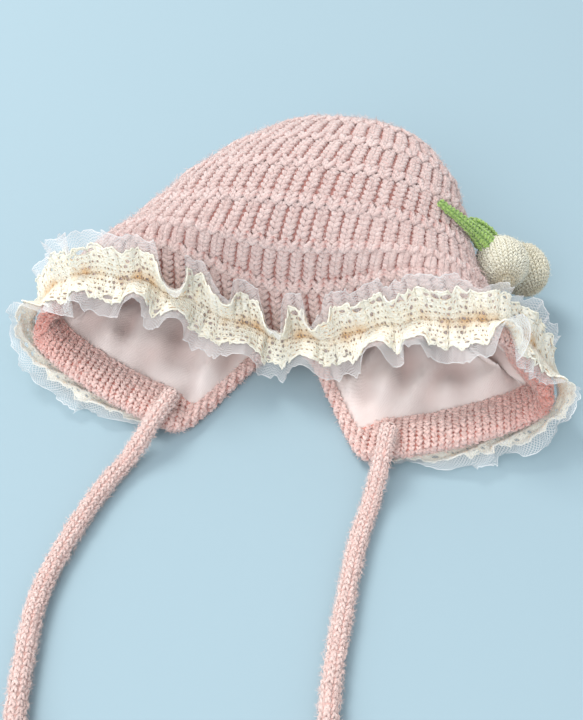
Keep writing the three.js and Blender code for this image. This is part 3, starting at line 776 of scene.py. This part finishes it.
def plush():
    n = Nodes("white_plush")
    u, v = n.uv()
    pile = n.noise(3200, 4.0, 0.7)
    wale = n.math("SINE", n.times(n.math("ADD", u, n.times(v, 0.8)), 5.0))
    base = n.mottled(60, 0.9, -0.1, srgb(240, 232, 228), srgb(222, 200, 195))
    base = n.blend(n.times(n.math("SUBTRACT", 0.62, pile), 0.5), base, srgb(214, 192, 187))
    # painted shade in the lining's folds and creases, from the tint
    base = n.blend(n.times(n.tint(), 0.6), base, srgb(196, 164, 158))
    n.paint(base)
    n.gloss(0.95, 0.1, 0.6, 0.45, (1, 0.98, 0.97, 1))
    n.bump(n.math("ADD", pile, n.times(wale, 0.12)), 0.55)
    return n.material


def lining_sheet():
    a = np.linspace(-1, 1, 361)[:-1]
    share = np.linspace(0, 1, 56)[:, None]
    low = edge_at(a) + ROLL + band_width_at(a) - LINING_LAP
    up = mix(low, CROWN_RISE - 3, share ** 0.85)
    # soft folds of the loose lining, running up from the band, deeper away from it
    fold = 0.7 * np.sin(a * 41 + 0.06 * up) + 0.6 * np.sin(a * 67 - 0.09 * up + 1.3)
    fold += 0.7 * np.sin(a * 109 + 0.05 * up) * np.sin(a * 17 + 1.0) + 0.3 * np.sin(up * 0.31 + 9 * a)
    # and narrow creases where it is drawn in, most of them in the right mouth
    crease = (1 - np.abs(np.sin(29 * a + 0.05 * up + 0.5))) ** 2.5
    crease = crease * mix(0.3, 1.5, ease(a * 3 + 0.5))
    sag = 2.6 + FOLD_DEPTH * fold + CREASE_DEPTH * crease
    depth = LINING_DEPTH + ease((up - low) / 16) * sag
    # painted shade: deeper in the folds' hollows and in the creases, fading out near the band
    painted_crease_shade = np.clip(0.45 - 0.4 * fold - 0.8 * crease, 0, 1) * ease((up - low) / 22)
    skin = at_depth(a, up, depth)
    return grid_sheet(skin, closed=True, u_run=a * HALF_HEM, v_run=up.mean(axis=1), tint=painted_crease_shade)


make_piece("lining_plush", lining_sheet(), plush(), "lining")

# ---- lace and tulle trim
LACE_HALF, TULLE_HALF = 11.0, 18.0
LACE_WIDTH = 23.2  # over the middle of its scallops
TRIM_HEIGHT = 1.0  # of the trim's seam off the cap
LEAST_GATHER = 1.15  # least length of cloth for a length of seam
SEAM_BELL = 8  # spread of the bell, in stations 1 mm apart
TRIM_CORNER_ROOM, TUCKED_SHARE, UPPER_EASE = 1.8, 0.12, 0.03
TIP_TAPER, TAPER_FROM = 0.35, 0.84  # the trim narrows over the last part of each flap
FLARE_PLACES = [0, 0.25, 0.42, 0.53, 0.62, 0.72, 0.82, 1]
FLARE_ANGLES = np.radians([12, 18, 12, -22, -14, 6, 0, 0])
# along the flaps the trim turns under and is crumpled, so that less of it shows
FLAP_REACH, FLAP_LACE_REACH, FLAP_CRUMPLE = 0.8, 0.5, 1.2
CRUMPLE_OUT, CRUMPLE_UP = 0.7, 0.78
GATHER_PITCH, GATHER_DEPTH, GATHER_REACH = 3.9, 0.3, 5  # the fine gathers at the seam itself


def stitch_up(around):
    return edge_at(around) + mix(HEM_TURN, 3, past_corner(around, 0.02, 0.08))


def smoothed(field):
    """A field of directions along the seam, averaged over a bell."""
    reach = 3 * SEAM_BELL
    weights = np.exp(-0.5 * (np.arange(-reach, reach + 1) / SEAM_BELL) ** 2)
    wide = np.pad(field, ((reach, reach), (0, 0)), mode="edge")
    return unit(np.stack([np.convolve(wide[:, k], weights, mode="valid") for k in range(3)], axis=1))


def seam_table():
    """Stations 1 mm apart along the seam: around, point (3), outward (3) and normal (3)."""
    reach = TIP_AT - 0.012
    fine = np.linspace(-reach, reach, 1201)
    run = run_along(surface(fine, stitch_up(fine)))
    even = np.linspace(0, run[-1], int(round(run[-1])) + 1)
    around = np.interp(even, run, fine)
    point = surface(around, stitch_up(around))
    normal = normal_at(around, stitch_up(around))
    outward = unit(np.cross(np.gradient(point, axis=0), normal))
    return even, np.column_stack([around, point, smoothed(outward), smoothed(normal)])


SEAM_RUN, SEAM = seam_table()
SEAM_LENGTH = SEAM_RUN[-1]

# Where each free edge lies down on the cap and where it stands up, in turn, along the seam from
# the left flap's tip: run in mm, and how far it stands, from 0 lying to 1, or drooping below 0.
LOWER_FOLDS = np.array([
    (-6, 0), (8, 0.6), (17, 0.1), (26, 0.8), (37, 0), (46, 0.6), (56, 0.1), (66, 0.6), (75, 0.1),
    (84, 0.4), (94, -0.2), (103, 0.2), (111, -0.1), (122, 0.35), (135, 0), (147, 0.65), (155, 0.1),
    (163, 0.6), (178, 0), (199, 0.5), (210, 0), (223, 0.58), (238, 0), (259, 0.7), (265, 0.15),
    (272, 0.65), (290, 0), (298, 0.2), (306, 0.95), (315, 0), (326, -0.1), (338, -0.25), (347, 0),
    (355, 0), (364, 0.6), (374, 0), (384, 0.8), (394, 0.1), (402, 0.6), (412, 0), (421, 0.7), (436, 0),
], float)
UPPER_FOLDS = np.array([
    (-6, 0), (12, 0.6), (24, 0), (38, 0.7), (50, 0), (62, 0.6), (76, 0.3), (88, 0.5), (98, 0.35),
    (108, 0.5), (114, 0.3), (121, 0.6), (129, 0.15), (138, 0.3), (147, 0.05), (160, 0.8), (171, 0),
    (183, 0.55), (196, 0), (211, 0.75), (220, 0), (231, 0.6), (243, 0.05), (251, 0.25), (260, 0.05),
    (268, 0.3), (278, 0.05), (287, 0.25), (297, 0.05), (306, 0.3), (315, 0.2), (323, 0.5), (332, 0.5),
    (342, 0.6), (354, 0.3), (366, 0.6), (380, 0), (392, 0.7), (405, 0), (416, 0.7), (436, 0),
], float)
CREST_POWER = 1.5  # a fold's crest is narrower than the stretch that lies between folds
UNDER_TULIPS, UNDER_FADE, UNDER_SHARE = (292, 338), 9, 0.85
LEFT_CORNER_AT, LEFT_CORNER_SPREAD, LEFT_CORNER_REACH = 88, 15, 0.62
# each half's folds, and its angles leaving the seam and of its curl, lying and standing
LOWER_HALF = (LOWER_FOLDS, np.radians([12, 52]), np.radians([-16, 62]))
UPPER_HALF = (UPPER_FOLDS, np.radians([16, 60]), np.radians([-20, 84]))
STEPS = 25  # across each half
FOLD_LEAN = 0.12
FLAP_STAND = 0.55  # how far the folds stand on the flaps, against those along the brow
SEAM_SHIFT = 1.4  # the seam moves up where the lower edge stands and the upper one lies


def folded(run, folds):
    """How far the free edge stands at each run, and how far the cloth leans over its folds."""
    at = np.interp(run, folds[:, 0], np.arange(len(folds)))
    k = np.minimum(at.astype(int), len(folds) - 2)
    t = at - k
    swing = 0.5 - 0.5 * np.cos(math.pi * t)
    rising = folds[k + 1, 1] > folds[k, 1]
    swing = np.where(rising, swing ** CREST_POWER, 1 - (1 - swing) ** CREST_POWER)
    stand = mix(folds[k, 1], folds[k + 1, 1], swing)
    length = np.gradient(folds[:, 0])
    lean = FOLD_LEAN * np.interp(run, folds[:, 0], length) * np.abs(folds[k + 1, 1] - folds[k, 1])
    return stand, lean * np.sin(math.tau * at)


def profile(stand, leave, curl):
    """Distance out along the cap, and height off it, at each step across, for a cloth that
    leaves the seam at one angle and has turned by its curl at the far edge."""
    share = np.linspace(0, 1, STEPS)
    angle = mix(*leave, stand)[:, None] + mix(*curl, stand)[:, None] * share
    way = np.stack([np.cos(angle), np.sin(angle)], axis=-1) * TULLE_HALF / (STEPS - 1)
    return np.cumsum(way, axis=1) - way[:, :1]


# waves that add up to the small puckers: size, turn a mm along, share of the seed, turn a mm across
PUCKERS = ((1, 0.86, 1, 0.06), (0.8, 1.37, 2.1, -0.09), (0.6, 2.11, 0.7, 0.12), (0.35, 3.3, 0, -0.3))


def crumple(run, across, seed):
    """Small uneven puckers of the gathered cloth."""
    waves = sum(size * np.sin(run * along + part * seed + slant * across)
                for size, along, part, slant in PUCKERS)
    return waves * (0.55 + 0.45 * np.sin(run * 0.21 + seed))


def trim_points(run, across, layer):
    """Points of the trim, (row across, station along the seam, xyz). Row 0 is the free lower
    edge, the last the upper one; the layer is 0 for the tulle and 1 for the lace over it."""
    on_flap = past_corner(np.interp(run, SEAM_RUN, SEAM[:, 0]), 0.02, 0.06)
    halves = []
    for folds, leave, curl in (LOWER_HALF, UPPER_HALF):
        stand, lean = folded(run, folds)
        stand = stand * mix(1, FLAP_STAND, on_flap)
        halves.append((profile(stand, leave, curl), lean, stand))
    seam_shift = SEAM_SHIFT * (halves[0][2] - halves[1][2])
    rows = []
    for w in across:
        way, lean, stand = halves[int(w > 0)]
        place = abs(w) / TULLE_HALF * (STEPS - 1)
        k = min(int(place), STEPS - 2)
        a, r = mix(way[:, k], way[:, k + 1], place - k).T
        share = min(abs(w) / LACE_HALF, 1.35)
        a = a + CRUMPLE_OUT * share * crumple(run, w, 1.0 + (w > 0))
        r = r + CRUMPLE_UP * share * (crumple(run, w, 3.1 + 2 * (w > 0)) + 0.8)
        crinkle = np.sin(run * math.tau / GATHER_PITCH + 0.05 * w + layer)
        crinkle = GATHER_DEPTH * crinkle * math.exp(-abs(w) / GATHER_REACH)
        at = np.clip(run + lean * share ** 0.7, 0, SEAM_LENGTH)
        seam = read_along(at, SEAM_RUN, SEAM)
        around, point, outward, normal = seam[:, 0], seam[:, 1:4], seam[:, 4:7], seam[:, 7:10]
        along = np.abs(2 * at / SEAM_LENGTH - 1)
        flare = np.interp(along, FLARE_PLACES, FLARE_ANGLES)
        flap = past_corner(around, 0.02, 0.06)
        room = TRIM_HEIGHT + TRIM_CORNER_ROOM * corner_at(around) + crinkle * (1 - flap)
        fold = point + normal * room[:, None] - outward * (room * np.tan(flare / 2))[:, None]
        if w > 0:
            tucked = past_corner(around, 0.01, 0.11)[:, None]
            # under the tulips the tulle is folded back, out of sight below the lace
            inside = np.minimum(at - UNDER_TULIPS[0], UNDER_TULIPS[1] - at)
            under = UNDER_SHARE * ease(inside / UNDER_FADE)
            a = mix(a, np.minimum(a, LACE_HALF * 0.9), under)
            up = stitch_up(around) + a + seam_shift * (1 - flap)
            lying = surface(around, up) + normal_at(around, up) * (room + r + UPPER_EASE * a)[:, None]
            rows.append(mix(lying, fold - outward * TUCKED_SHARE * w, tucked))
            continue
        taper = mix(1, TIP_TAPER, ease((along - TAPER_FROM) / (1 - TAPER_FROM)))
        reach = mix(FLAP_LACE_REACH, FLAP_REACH, ease((abs(w) - LACE_HALF + 2) / 7))
        near_left = np.exp(-((at - LEFT_CORNER_AT) / LEFT_CORNER_SPREAD) ** 2)
        reach = mix(mix(1, reach, flap), LEFT_CORNER_REACH, near_left)
        a = (a - seam_shift * (1 - flap)) * taper * reach
        r = mix(r, FLAP_CRUMPLE * np.sin(0.8 * w + 0.33 * run + np.sin(0.13 * run)), flap) * taper
        out = outward * (a * np.cos(flare) - r * np.sin(flare))[:, None]
        rows.append(fold + out + normal * (a * np.sin(flare) + r * np.cos(flare))[:, None])
    points = np.array(rows)
    points[..., 2] = np.maximum(points[..., 2], 0.3 + 0.4 * layer)
    return points


RUN_STEP = 0.25


def gathered_cloth():
    """Where each length of the flat cloth is gathered to: (cloth run, seam run)."""
    run = np.arange(0, SEAM_LENGTH, RUN_STEP)
    steps = size(np.diff(trim_points(run, (-9.0, 9.0), 0), axis=1))
    on_flap = np.abs(np.interp(run[1:], SEAM_RUN, SEAM[:, 0])) > SIDE_AT
    need = np.where(on_flap, steps[0], 0.5 * (steps[0] + steps[1]))
    need = np.convolve(np.pad(need, 8, mode="edge"), np.ones(17) / 17, mode="valid")
    return np.concatenate([[0], np.cumsum(np.maximum(need, RUN_STEP * LEAST_GATHER))]), run


CLOTH_RUN, CLOTH_SEAM = gathered_cloth()
CLOTH_LENGTH = CLOTH_RUN[-1]


def lace_material():
    n = Nodes("cotton_lace")
    knots = n.add("TexVoronoi", {"Vector": n.where("UV"), "Scale": 1.15, "Randomness": 0.85})
    lump = n.math("SUBTRACT", 1.0, n.times(knots.outputs["Distance"], 1.3))
    fibres = n.noise(2400, 4.0, 0.7)
    base = n.mottled(120, 0.8, -0.2, srgb(255, 254, 244), srgb(255, 249, 226))
    gap = n.times(n.math("SUBTRACT", 0.36, lump), 0.75)
    base = n.blend(n.math("MAXIMUM", gap, 0.0), base, srgb(246, 226, 180))
    # painted warm shade along the seam and in the eyelets, from the tint
    base = n.blend(n.math("MINIMUM", n.tint(), 1.0), base, srgb(226, 178, 112))
    n.paint(base)
    n.gloss(0.85, 0.2, 0.4, 0.5, (1, 0.98, 0.92, 1))
    n.bump(n.math("ADD", n.times(lump, 1.6), fibres), 0.5)
    through = n.add("BsdfTranslucent", {"Color": base})
    both = n.add("MixShader", {0: 0.16, 1: n.shader.outputs[0], 2: through.outputs[0]})
    n.put(n.output.inputs["Surface"], both.outputs[0])
    return n.material


LACE_OVER = 0.9  # the lace lies this far over the tulle
LACE_ROWS, CELL = 8, 2.2  # rows of small eyelets between the two scalloped ones
CELL_HOLE, SCALLOP_HOLE = (0.52, 0.46), (1.35, 0.55)  # half width and half height
SCALLOP, SCALLOP_RISE, PICOT = 4.75, 1.6, 0.5
HOLE_SIZES, HOLE_CHANCES = [0.4, 0.8, 1.1, 1.75], [0.28, 0.34, 0.27, 0.11]
# the eight points round a cell, in shares of it, and the lift of its rings: the rim, a raised
# round of thread, the hole's lip and the pit's wall under the lip
RIM = np.array([[0, 0], [0.5, 0], [1, 0], [1, 0.5], [1, 1], [0.5, 1], [0, 1], [0, 0.5]], float)
RIM_LIFT, THREAD_LIFT, LIP_LIFT, PIT_LIFT = -0.15, 0.28, -0.06, -0.5


def scallop(u):
    return SCALLOP_RISE * np.abs(np.sin(math.pi * u / (2 * SCALLOP))) - 0.5


def lace_cells(pitch, low, hole, shift=0.0, edge=0):
    """A row of eyelets along the lace, in cloth (u, w, lift); edge is the scalloped side's sign."""
    count = int(CLOTH_LENGTH / pitch)
    start = (np.arange(count)[:, None] + shift) * pitch
    rim = np.stack(spread(start + RIM[:, 0] * pitch, low + RIM[:, 1] * CELL), -1)
    if edge:
        outer = RIM[:, 1] == (edge > 0)
        rim[:, outer, 1] += edge * scallop(rim[:, outer, 0])
    opened = rng.choice(HOLE_SIZES, (count, 1), p=HOLE_CHANCES)
    turn = np.arctan2(RIM[:, 1] - 0.5, RIM[:, 0] - 0.5)
    lip = np.stack([start + 0.5 * pitch + np.cos(turn) * hole[0] * opened,
                    low + CELL / 2 + np.sin(turn) * hole[1] * opened], -1)
    pit = mix(lip, lip.mean(axis=1, keepdims=True), -0.05)
    rings = ((rim, RIM_LIFT), (mix(rim, lip, 0.5), THREAD_LIFT), (lip, LIP_LIFT), (pit, PIT_LIFT))
    points = [np.concatenate([ring, np.full((count, 8, 1), lift)], -1) for ring, lift in rings]
    cell, level, place = counted(count, len(rings) - 1, 8)

    def index(r, c):
        return (cell * len(rings) + r) * 8 + c % 8

    quads = np.stack(four_round(index, level, place), -1).reshape(-1, 4)
    return np.stack(points, axis=1).reshape(-1, 3), quads


def lace_flat():
    """The whole lace, flat: (u, w, lift) and its quads."""
    parts = []
    for row in range(LACE_ROWS):
        low = CELL * (row - LACE_ROWS / 2)
        parts.append(lace_cells(CELL, low, CELL_HOLE, shift=0.5 * (row % 2)))
    parts.append(lace_cells(SCALLOP, -LACE_HALF, SCALLOP_HOLE, edge=-1))
    parts.append(lace_cells(SCALLOP, LACE_HALF - CELL, SCALLOP_HOLE, edge=1))
    return join_parts(parts)


TRIM_STEP_U, TRIM_STEP_W = 0.8, 0.5


def on_trim(flat):
    """Bends the flat lace, (u, w, lift), onto the gathered trim."""
    us = np.arange(0, CLOTH_LENGTH + 1, TRIM_STEP_U)
    ws = np.arange(-13, 13.1, TRIM_STEP_W)
    table = trim_points(np.interp(us, CLOTH_RUN, CLOTH_SEAM), ws, 1)
    along = unit(np.gradient(table, axis=1))
    across = unit(np.gradient(table, axis=0))
    face = unit(np.cross(along, across))
    column = np.clip(flat[:, 0] / TRIM_STEP_U, 0, len(us) - 1.001)
    row = np.clip((flat[:, 1] - ws[0]) / TRIM_STEP_W, 0, len(ws) - 1.001)
    return read_grid(table, row, column) + read_grid(face, row, column) * (flat[:, 2:3] + LACE_OVER)


def make_lace():
    flat, quads = lace_flat()
    points = on_trim(flat)
    uv = flat[quads.ravel(), :2]
    # painted warm ochre shade: uneven along the stitched line, full in the eyelets' pits, faint on
    # their lips
    u, w, lift = flat.T
    seam_shade_patches = 0.36 + 0.3 * np.sin(0.13 * u + 2 * np.sin(0.041 * u)) + 0.14 * np.sin(0.61 * u)
    tint = np.maximum(seam_shade_patches, 0.05) * np.exp(-((w - np.sin(0.17 * u)) / 3.2) ** 2)
    tint = tint + 0.9 * (lift == PIT_LIFT) + 0.12 * (lift == LIP_LIFT)
    cloth = [points, quads, uv, tint]
    # the crocheted edge: a cord that follows the scallops, with small picots along it
    edges = []
    u = np.arange(0, CLOTH_LENGTH, 1.05)
    bulge = LACE_HALF + scallop(u) + 0.05 + PICOT * (np.arange(len(u)) % 3 == 0)
    girth = 0.4 + 0.12 * np.sin(u * 2.9)
    for sign in (-1, 1):
        line = on_trim(np.stack([u, sign * bulge, 0 * u], 1))
        normals = np.broadcast_to(np.array([0.1, -0.3, 1.0]), line.shape)
        edges.append(sweep(line[None], normals[None], girth[None], flat=1.0))
    shape = join_parts([cloth] + edges)
    return make_piece("lace_crochet", shape, lace_material(), "lace_trim")


NET_MESH, NET_THREAD, NET_HEM = 1.2, 0.45, 0.5


def tulle_material():
    n = Nodes("white_tulle")
    u, v = n.uv()
    nets = []
    for sign in (1.0, -1.0):
        slant = n.math("MULTIPLY_ADD", v, sign, u)
        wave = n.math("ABSOLUTE", n.math("SINE", n.times(slant, math.pi / NET_MESH)))
        nets.append(n.math("LESS_THAN", wave, NET_THREAD))
    net = n.math("MAXIMUM", *nets)
    hem = n.times(n.math("GREATER_THAN", n.math("ABSOLUTE", v), TULLE_HALF - NET_HEM), 0.8)
    cover = n.math("MAXIMUM", n.math("MULTIPLY_ADD", net, 0.46, 0.18), hem)
    white = {"Color": srgb(250, 250, 250)}
    cloth = n.add("BsdfDiffuse", white).outputs[0]
    glow = n.add("BsdfTranslucent", white).outputs[0]
    thread = n.add("MixShader", {0: 0.4, 1: cloth, 2: glow}).outputs[0]
    clear = n.add("BsdfTransparent").outputs[0]
    seen = n.add("MixShader", {0: cover, 1: clear, 2: thread})
    n.put(n.output.inputs["Surface"], seen.outputs[0])
    return n.material


def make_tulle():
    us = np.arange(0, CLOTH_LENGTH + 0.6, 1.2)
    ws = np.linspace(-TULLE_HALF, TULLE_HALF, 33)
    points = trim_points(np.interp(us, CLOTH_RUN, CLOTH_SEAM), ws, 0)
    shape = grid_sheet(points, u_run=us, v_run=ws)
    return make_piece("tulle_net", shape, tulle_material(), "tulle_trim")


for cloth, width in ((make_lace(), LACE_WIDTH), (make_tulle(), 2 * TULLE_HALF)):
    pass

# ---- tulips
BUD_RADIUS, BUD_LENGTH = 11.0, 25.0  # of the skin that the stitches stand on
BUD_COLUMNS, BUD_ROW = 28, 1.75
LEAST_ROUND = 1.6  # no stitches where the bud is thinner than this
BUD_FUZZ, YARN_ENDS = 1300, 9
BUD_SHADE, PUCKER_SHADE, PUCKER_REACH, TIP_SHARE = 0.3, 0.95, 4.5, 0.965
# share of the length, share of the radius, down the bud from its stem to its gathered tip
BUD_SHAPE = np.array([
    [0.00, 0.02], [0.02, 0.28], [0.07, 0.52], [0.16, 0.76], [0.30, 0.93], [0.47, 1.00],
    [0.64, 0.97], [0.79, 0.82], [0.90, 0.58], [0.965, 0.34], [0.985, 0.16], [0.97, 0.03],
])


class Bud:
    """The skin of a bud about its axis, from a line of places along it and radii."""

    def __init__(self, centre, heading):
        self.axis = unit(np.array(heading, float))
        self.start = np.array(centre, float) - self.axis * BUD_LENGTH / 2
        self.side = unit(np.cross(self.axis, [0.0, 0.0, 1.0]))
        self.up = np.cross(self.side, self.axis)
        self.line, _ = spline(BUD_SHAPE * [BUD_LENGTH, BUD_RADIUS], 0.3)
        self.run = run_along(self.line)
        self.length = self.run[-1]

    def place(self, turn, run, out):
        turn, run, out = spread(turn, run, out)
        held = np.clip(run, 0.2, self.length - 0.2)
        rise = read_along(held + 0.2, self.run, self.line) - read_along(held - 0.2, self.run, self.line)
        tilt = np.arctan2(rise[..., 0], rise[..., 1])
        along = np.interp(run, self.run, self.line[:, 0]) - out * np.cos(tilt)
        radius = np.interp(run, self.run, self.line[:, 1]) + out * np.sin(tilt)
        angle = math.tau * turn
        outward = self.side * np.cos(angle)[..., None] + self.up * np.sin(angle)[..., None]
        return self.start + self.axis * along[..., None] + outward * radius[..., None]


def make_bud(part, centre, heading, material):
    bud = Bud(centre, heading)
    k, column = counted(int(bud.length / BUD_ROW), BUD_COLUMNS)
    keep = np.interp(k * BUD_ROW, bud.run, bud.line[:, 1]) > LEAST_ROUND
    turn, run = (column[keep] + 0.5) / BUD_COLUMNS, k[keep] * BUD_ROW
    knit = stitches(bud.place, turn, run, BUD_COLUMNS, BUD_ROW, wild=0.07, fat=0.9)
    runs = np.linspace(0, bud.length, 40)[:, None]
    turns = np.linspace(0, 1, 36, endpoint=False)
    # the core under the stitches is painted a little deeper, as painted shade
    core = grid_sheet(bud.place(turns, runs, -0.5), closed=True, tint=0.3)
    # the drawn-up tip: the wales run together into a shaded pucker, with a small knot of yarn ends
    tip = bud.start + bud.axis * BUD_LENGTH * TIP_SHARE
    pucker = np.exp(-(size(knit[0] - tip) / PUCKER_REACH) ** 2)
    # painted shade: the stitches' shade is scaled by BUD_SHADE, and the pucker at the tip is painted
    # darker
    knit[3][:] = BUD_SHADE * knit[3] + PUCKER_SHADE * pucker
    ends = []
    for number in range(YARN_ENDS):
        angle = math.tau * number / YARN_ENDS + rng.normal(0, 0.2)
        out = bud.side * math.cos(angle) + bud.up * math.sin(angle)
        reach = rng.uniform(1.8, 3.2)
        ends.append([tip - bud.axis * 1.0, tip + out * reach * 0.4 + bud.axis * 0.7,
                     tip + out * reach * 0.8 + bud.axis * 0.3, tip + out * reach - bud.axis * 1.2])
    ends = np.array(ends)
    girth = np.broadcast_to([0.5, 0.75, 0.7, 0.4], ends.shape[:2])
    nub = sweep(ends, np.broadcast_to(bud.axis, ends.shape), girth, tint=0.25)
    turn = rng.uniform(0, 1, BUD_FUZZ)
    loose = fuzz(bud.place, turn, rng.uniform(2, bud.length - 1, BUD_FUZZ), 0.6, 1.5)
    shape = join_parts([knit, core, nub, loose])
    make_piece("tulip_" + part, shape, material, "tulip_bud_" + part)


make_bud("front", (88.8, -15.3, 36.8), (0.18, -0.97, 0.05), CREAM)
# the rear bud takes the darker copy of the cream wool, as painted shade
make_bud("rear", (101.2, -1.9, 22.2), (0.49, -0.78, -0.39), CREAM_PAINTED_SHADE)

STEM_COLUMNS, STEM_ROW, STEM_SINK = 7, 2.0, 0.8
# each stem's route down to its bud, and its radius at each place
STEMS = {
    "front": ([(57.3, -13.6, 65.9), (60.7, -14.5, 63.6), (64.4, -14.8, 61.2), (67.6, -14.8, 58.4),
               (71.0, -14.1, 55.0), (74.9, -12.3, 50.2), (78.9, -11.0, 45.2), (81.6, -11.4, 42.4)],
              [2.2, 2.5, 2.7, 3.0, 3.4, 3.9, 4.6, 4.9]),
    "rear": ([(71.2, -4.8, 47.4), (73.8, -2.8, 46.6), (77.8, -1.4, 43.2), (84.0, 0.4, 36.0),
              (91.0, 2.4, 29.0)], [3.2, 4.4, 4.6, 4.0, 3.6]),
}
for part, (route, radii) in STEMS.items():
    stem = Tube(route, np.array(radii) * 0.92 - STEM_SINK)
    shape = join_parts([stem.knit(STEM_COLUMNS, STEM_ROW, wild=0.07), stem.core(0.9)])
    make_piece("tulip_stalk_" + part, shape, GREEN, "tulip_stem_" + part)

# ---- floor and light
def floor_material():
    n = Nodes("pale_floor")
    n.paint(n.blend(n.noise(3.0), srgb(154, 177, 187), srgb(157, 180, 190)))
    n.gloss(0.8, 0.2)
    return n.material


FLOOR_HALF, FLOOR_DROP = 3000, 0.05
x, y = np.meshgrid([-FLOOR_HALF, FLOOR_HALF], [-FLOOR_HALF, FLOOR_HALF])
plane = np.stack([x, y, np.full(x.shape, -FLOOR_DROP)], axis=-1)
floor = make_piece("floor", grid_sheet(plane), floor_material())


def area_light(name, place, target, width, power, colour):
    data = bpy.data.lights.new(name, "AREA")
    data.shape = "DISK"
    data.size, data.energy, data.color = width, power, colour
    ahead = unit(np.array(target, float) - np.array(place, float))
    side = unit(np.cross(ahead, [0.0, 0.0, 1.0]))
    aim(add_object(name, data), side, np.cross(side, ahead), -ahead, place)


area_light("key", (-0.95, 0.7, 1.6), (0, 0, 0.02), 0.8, 24, (1.0, 0.985, 0.96))
area_light("fill", (-0.45, -1.3, 1.1), (0, 0, 0), 1.2, 15, (0.98, 0.99, 1.0))
world = bpy.data.worlds.new("studio")
world.use_nodes = True
sky = world.node_tree.nodes["Background"]
sky.inputs["Color"].default_value = (0.93, 0.96, 1.0, 1)
sky.inputs["Strength"].default_value = 0.85
bpy.context.scene.world = world
bpy.context.scene.view_settings.view_transform = "Standard"
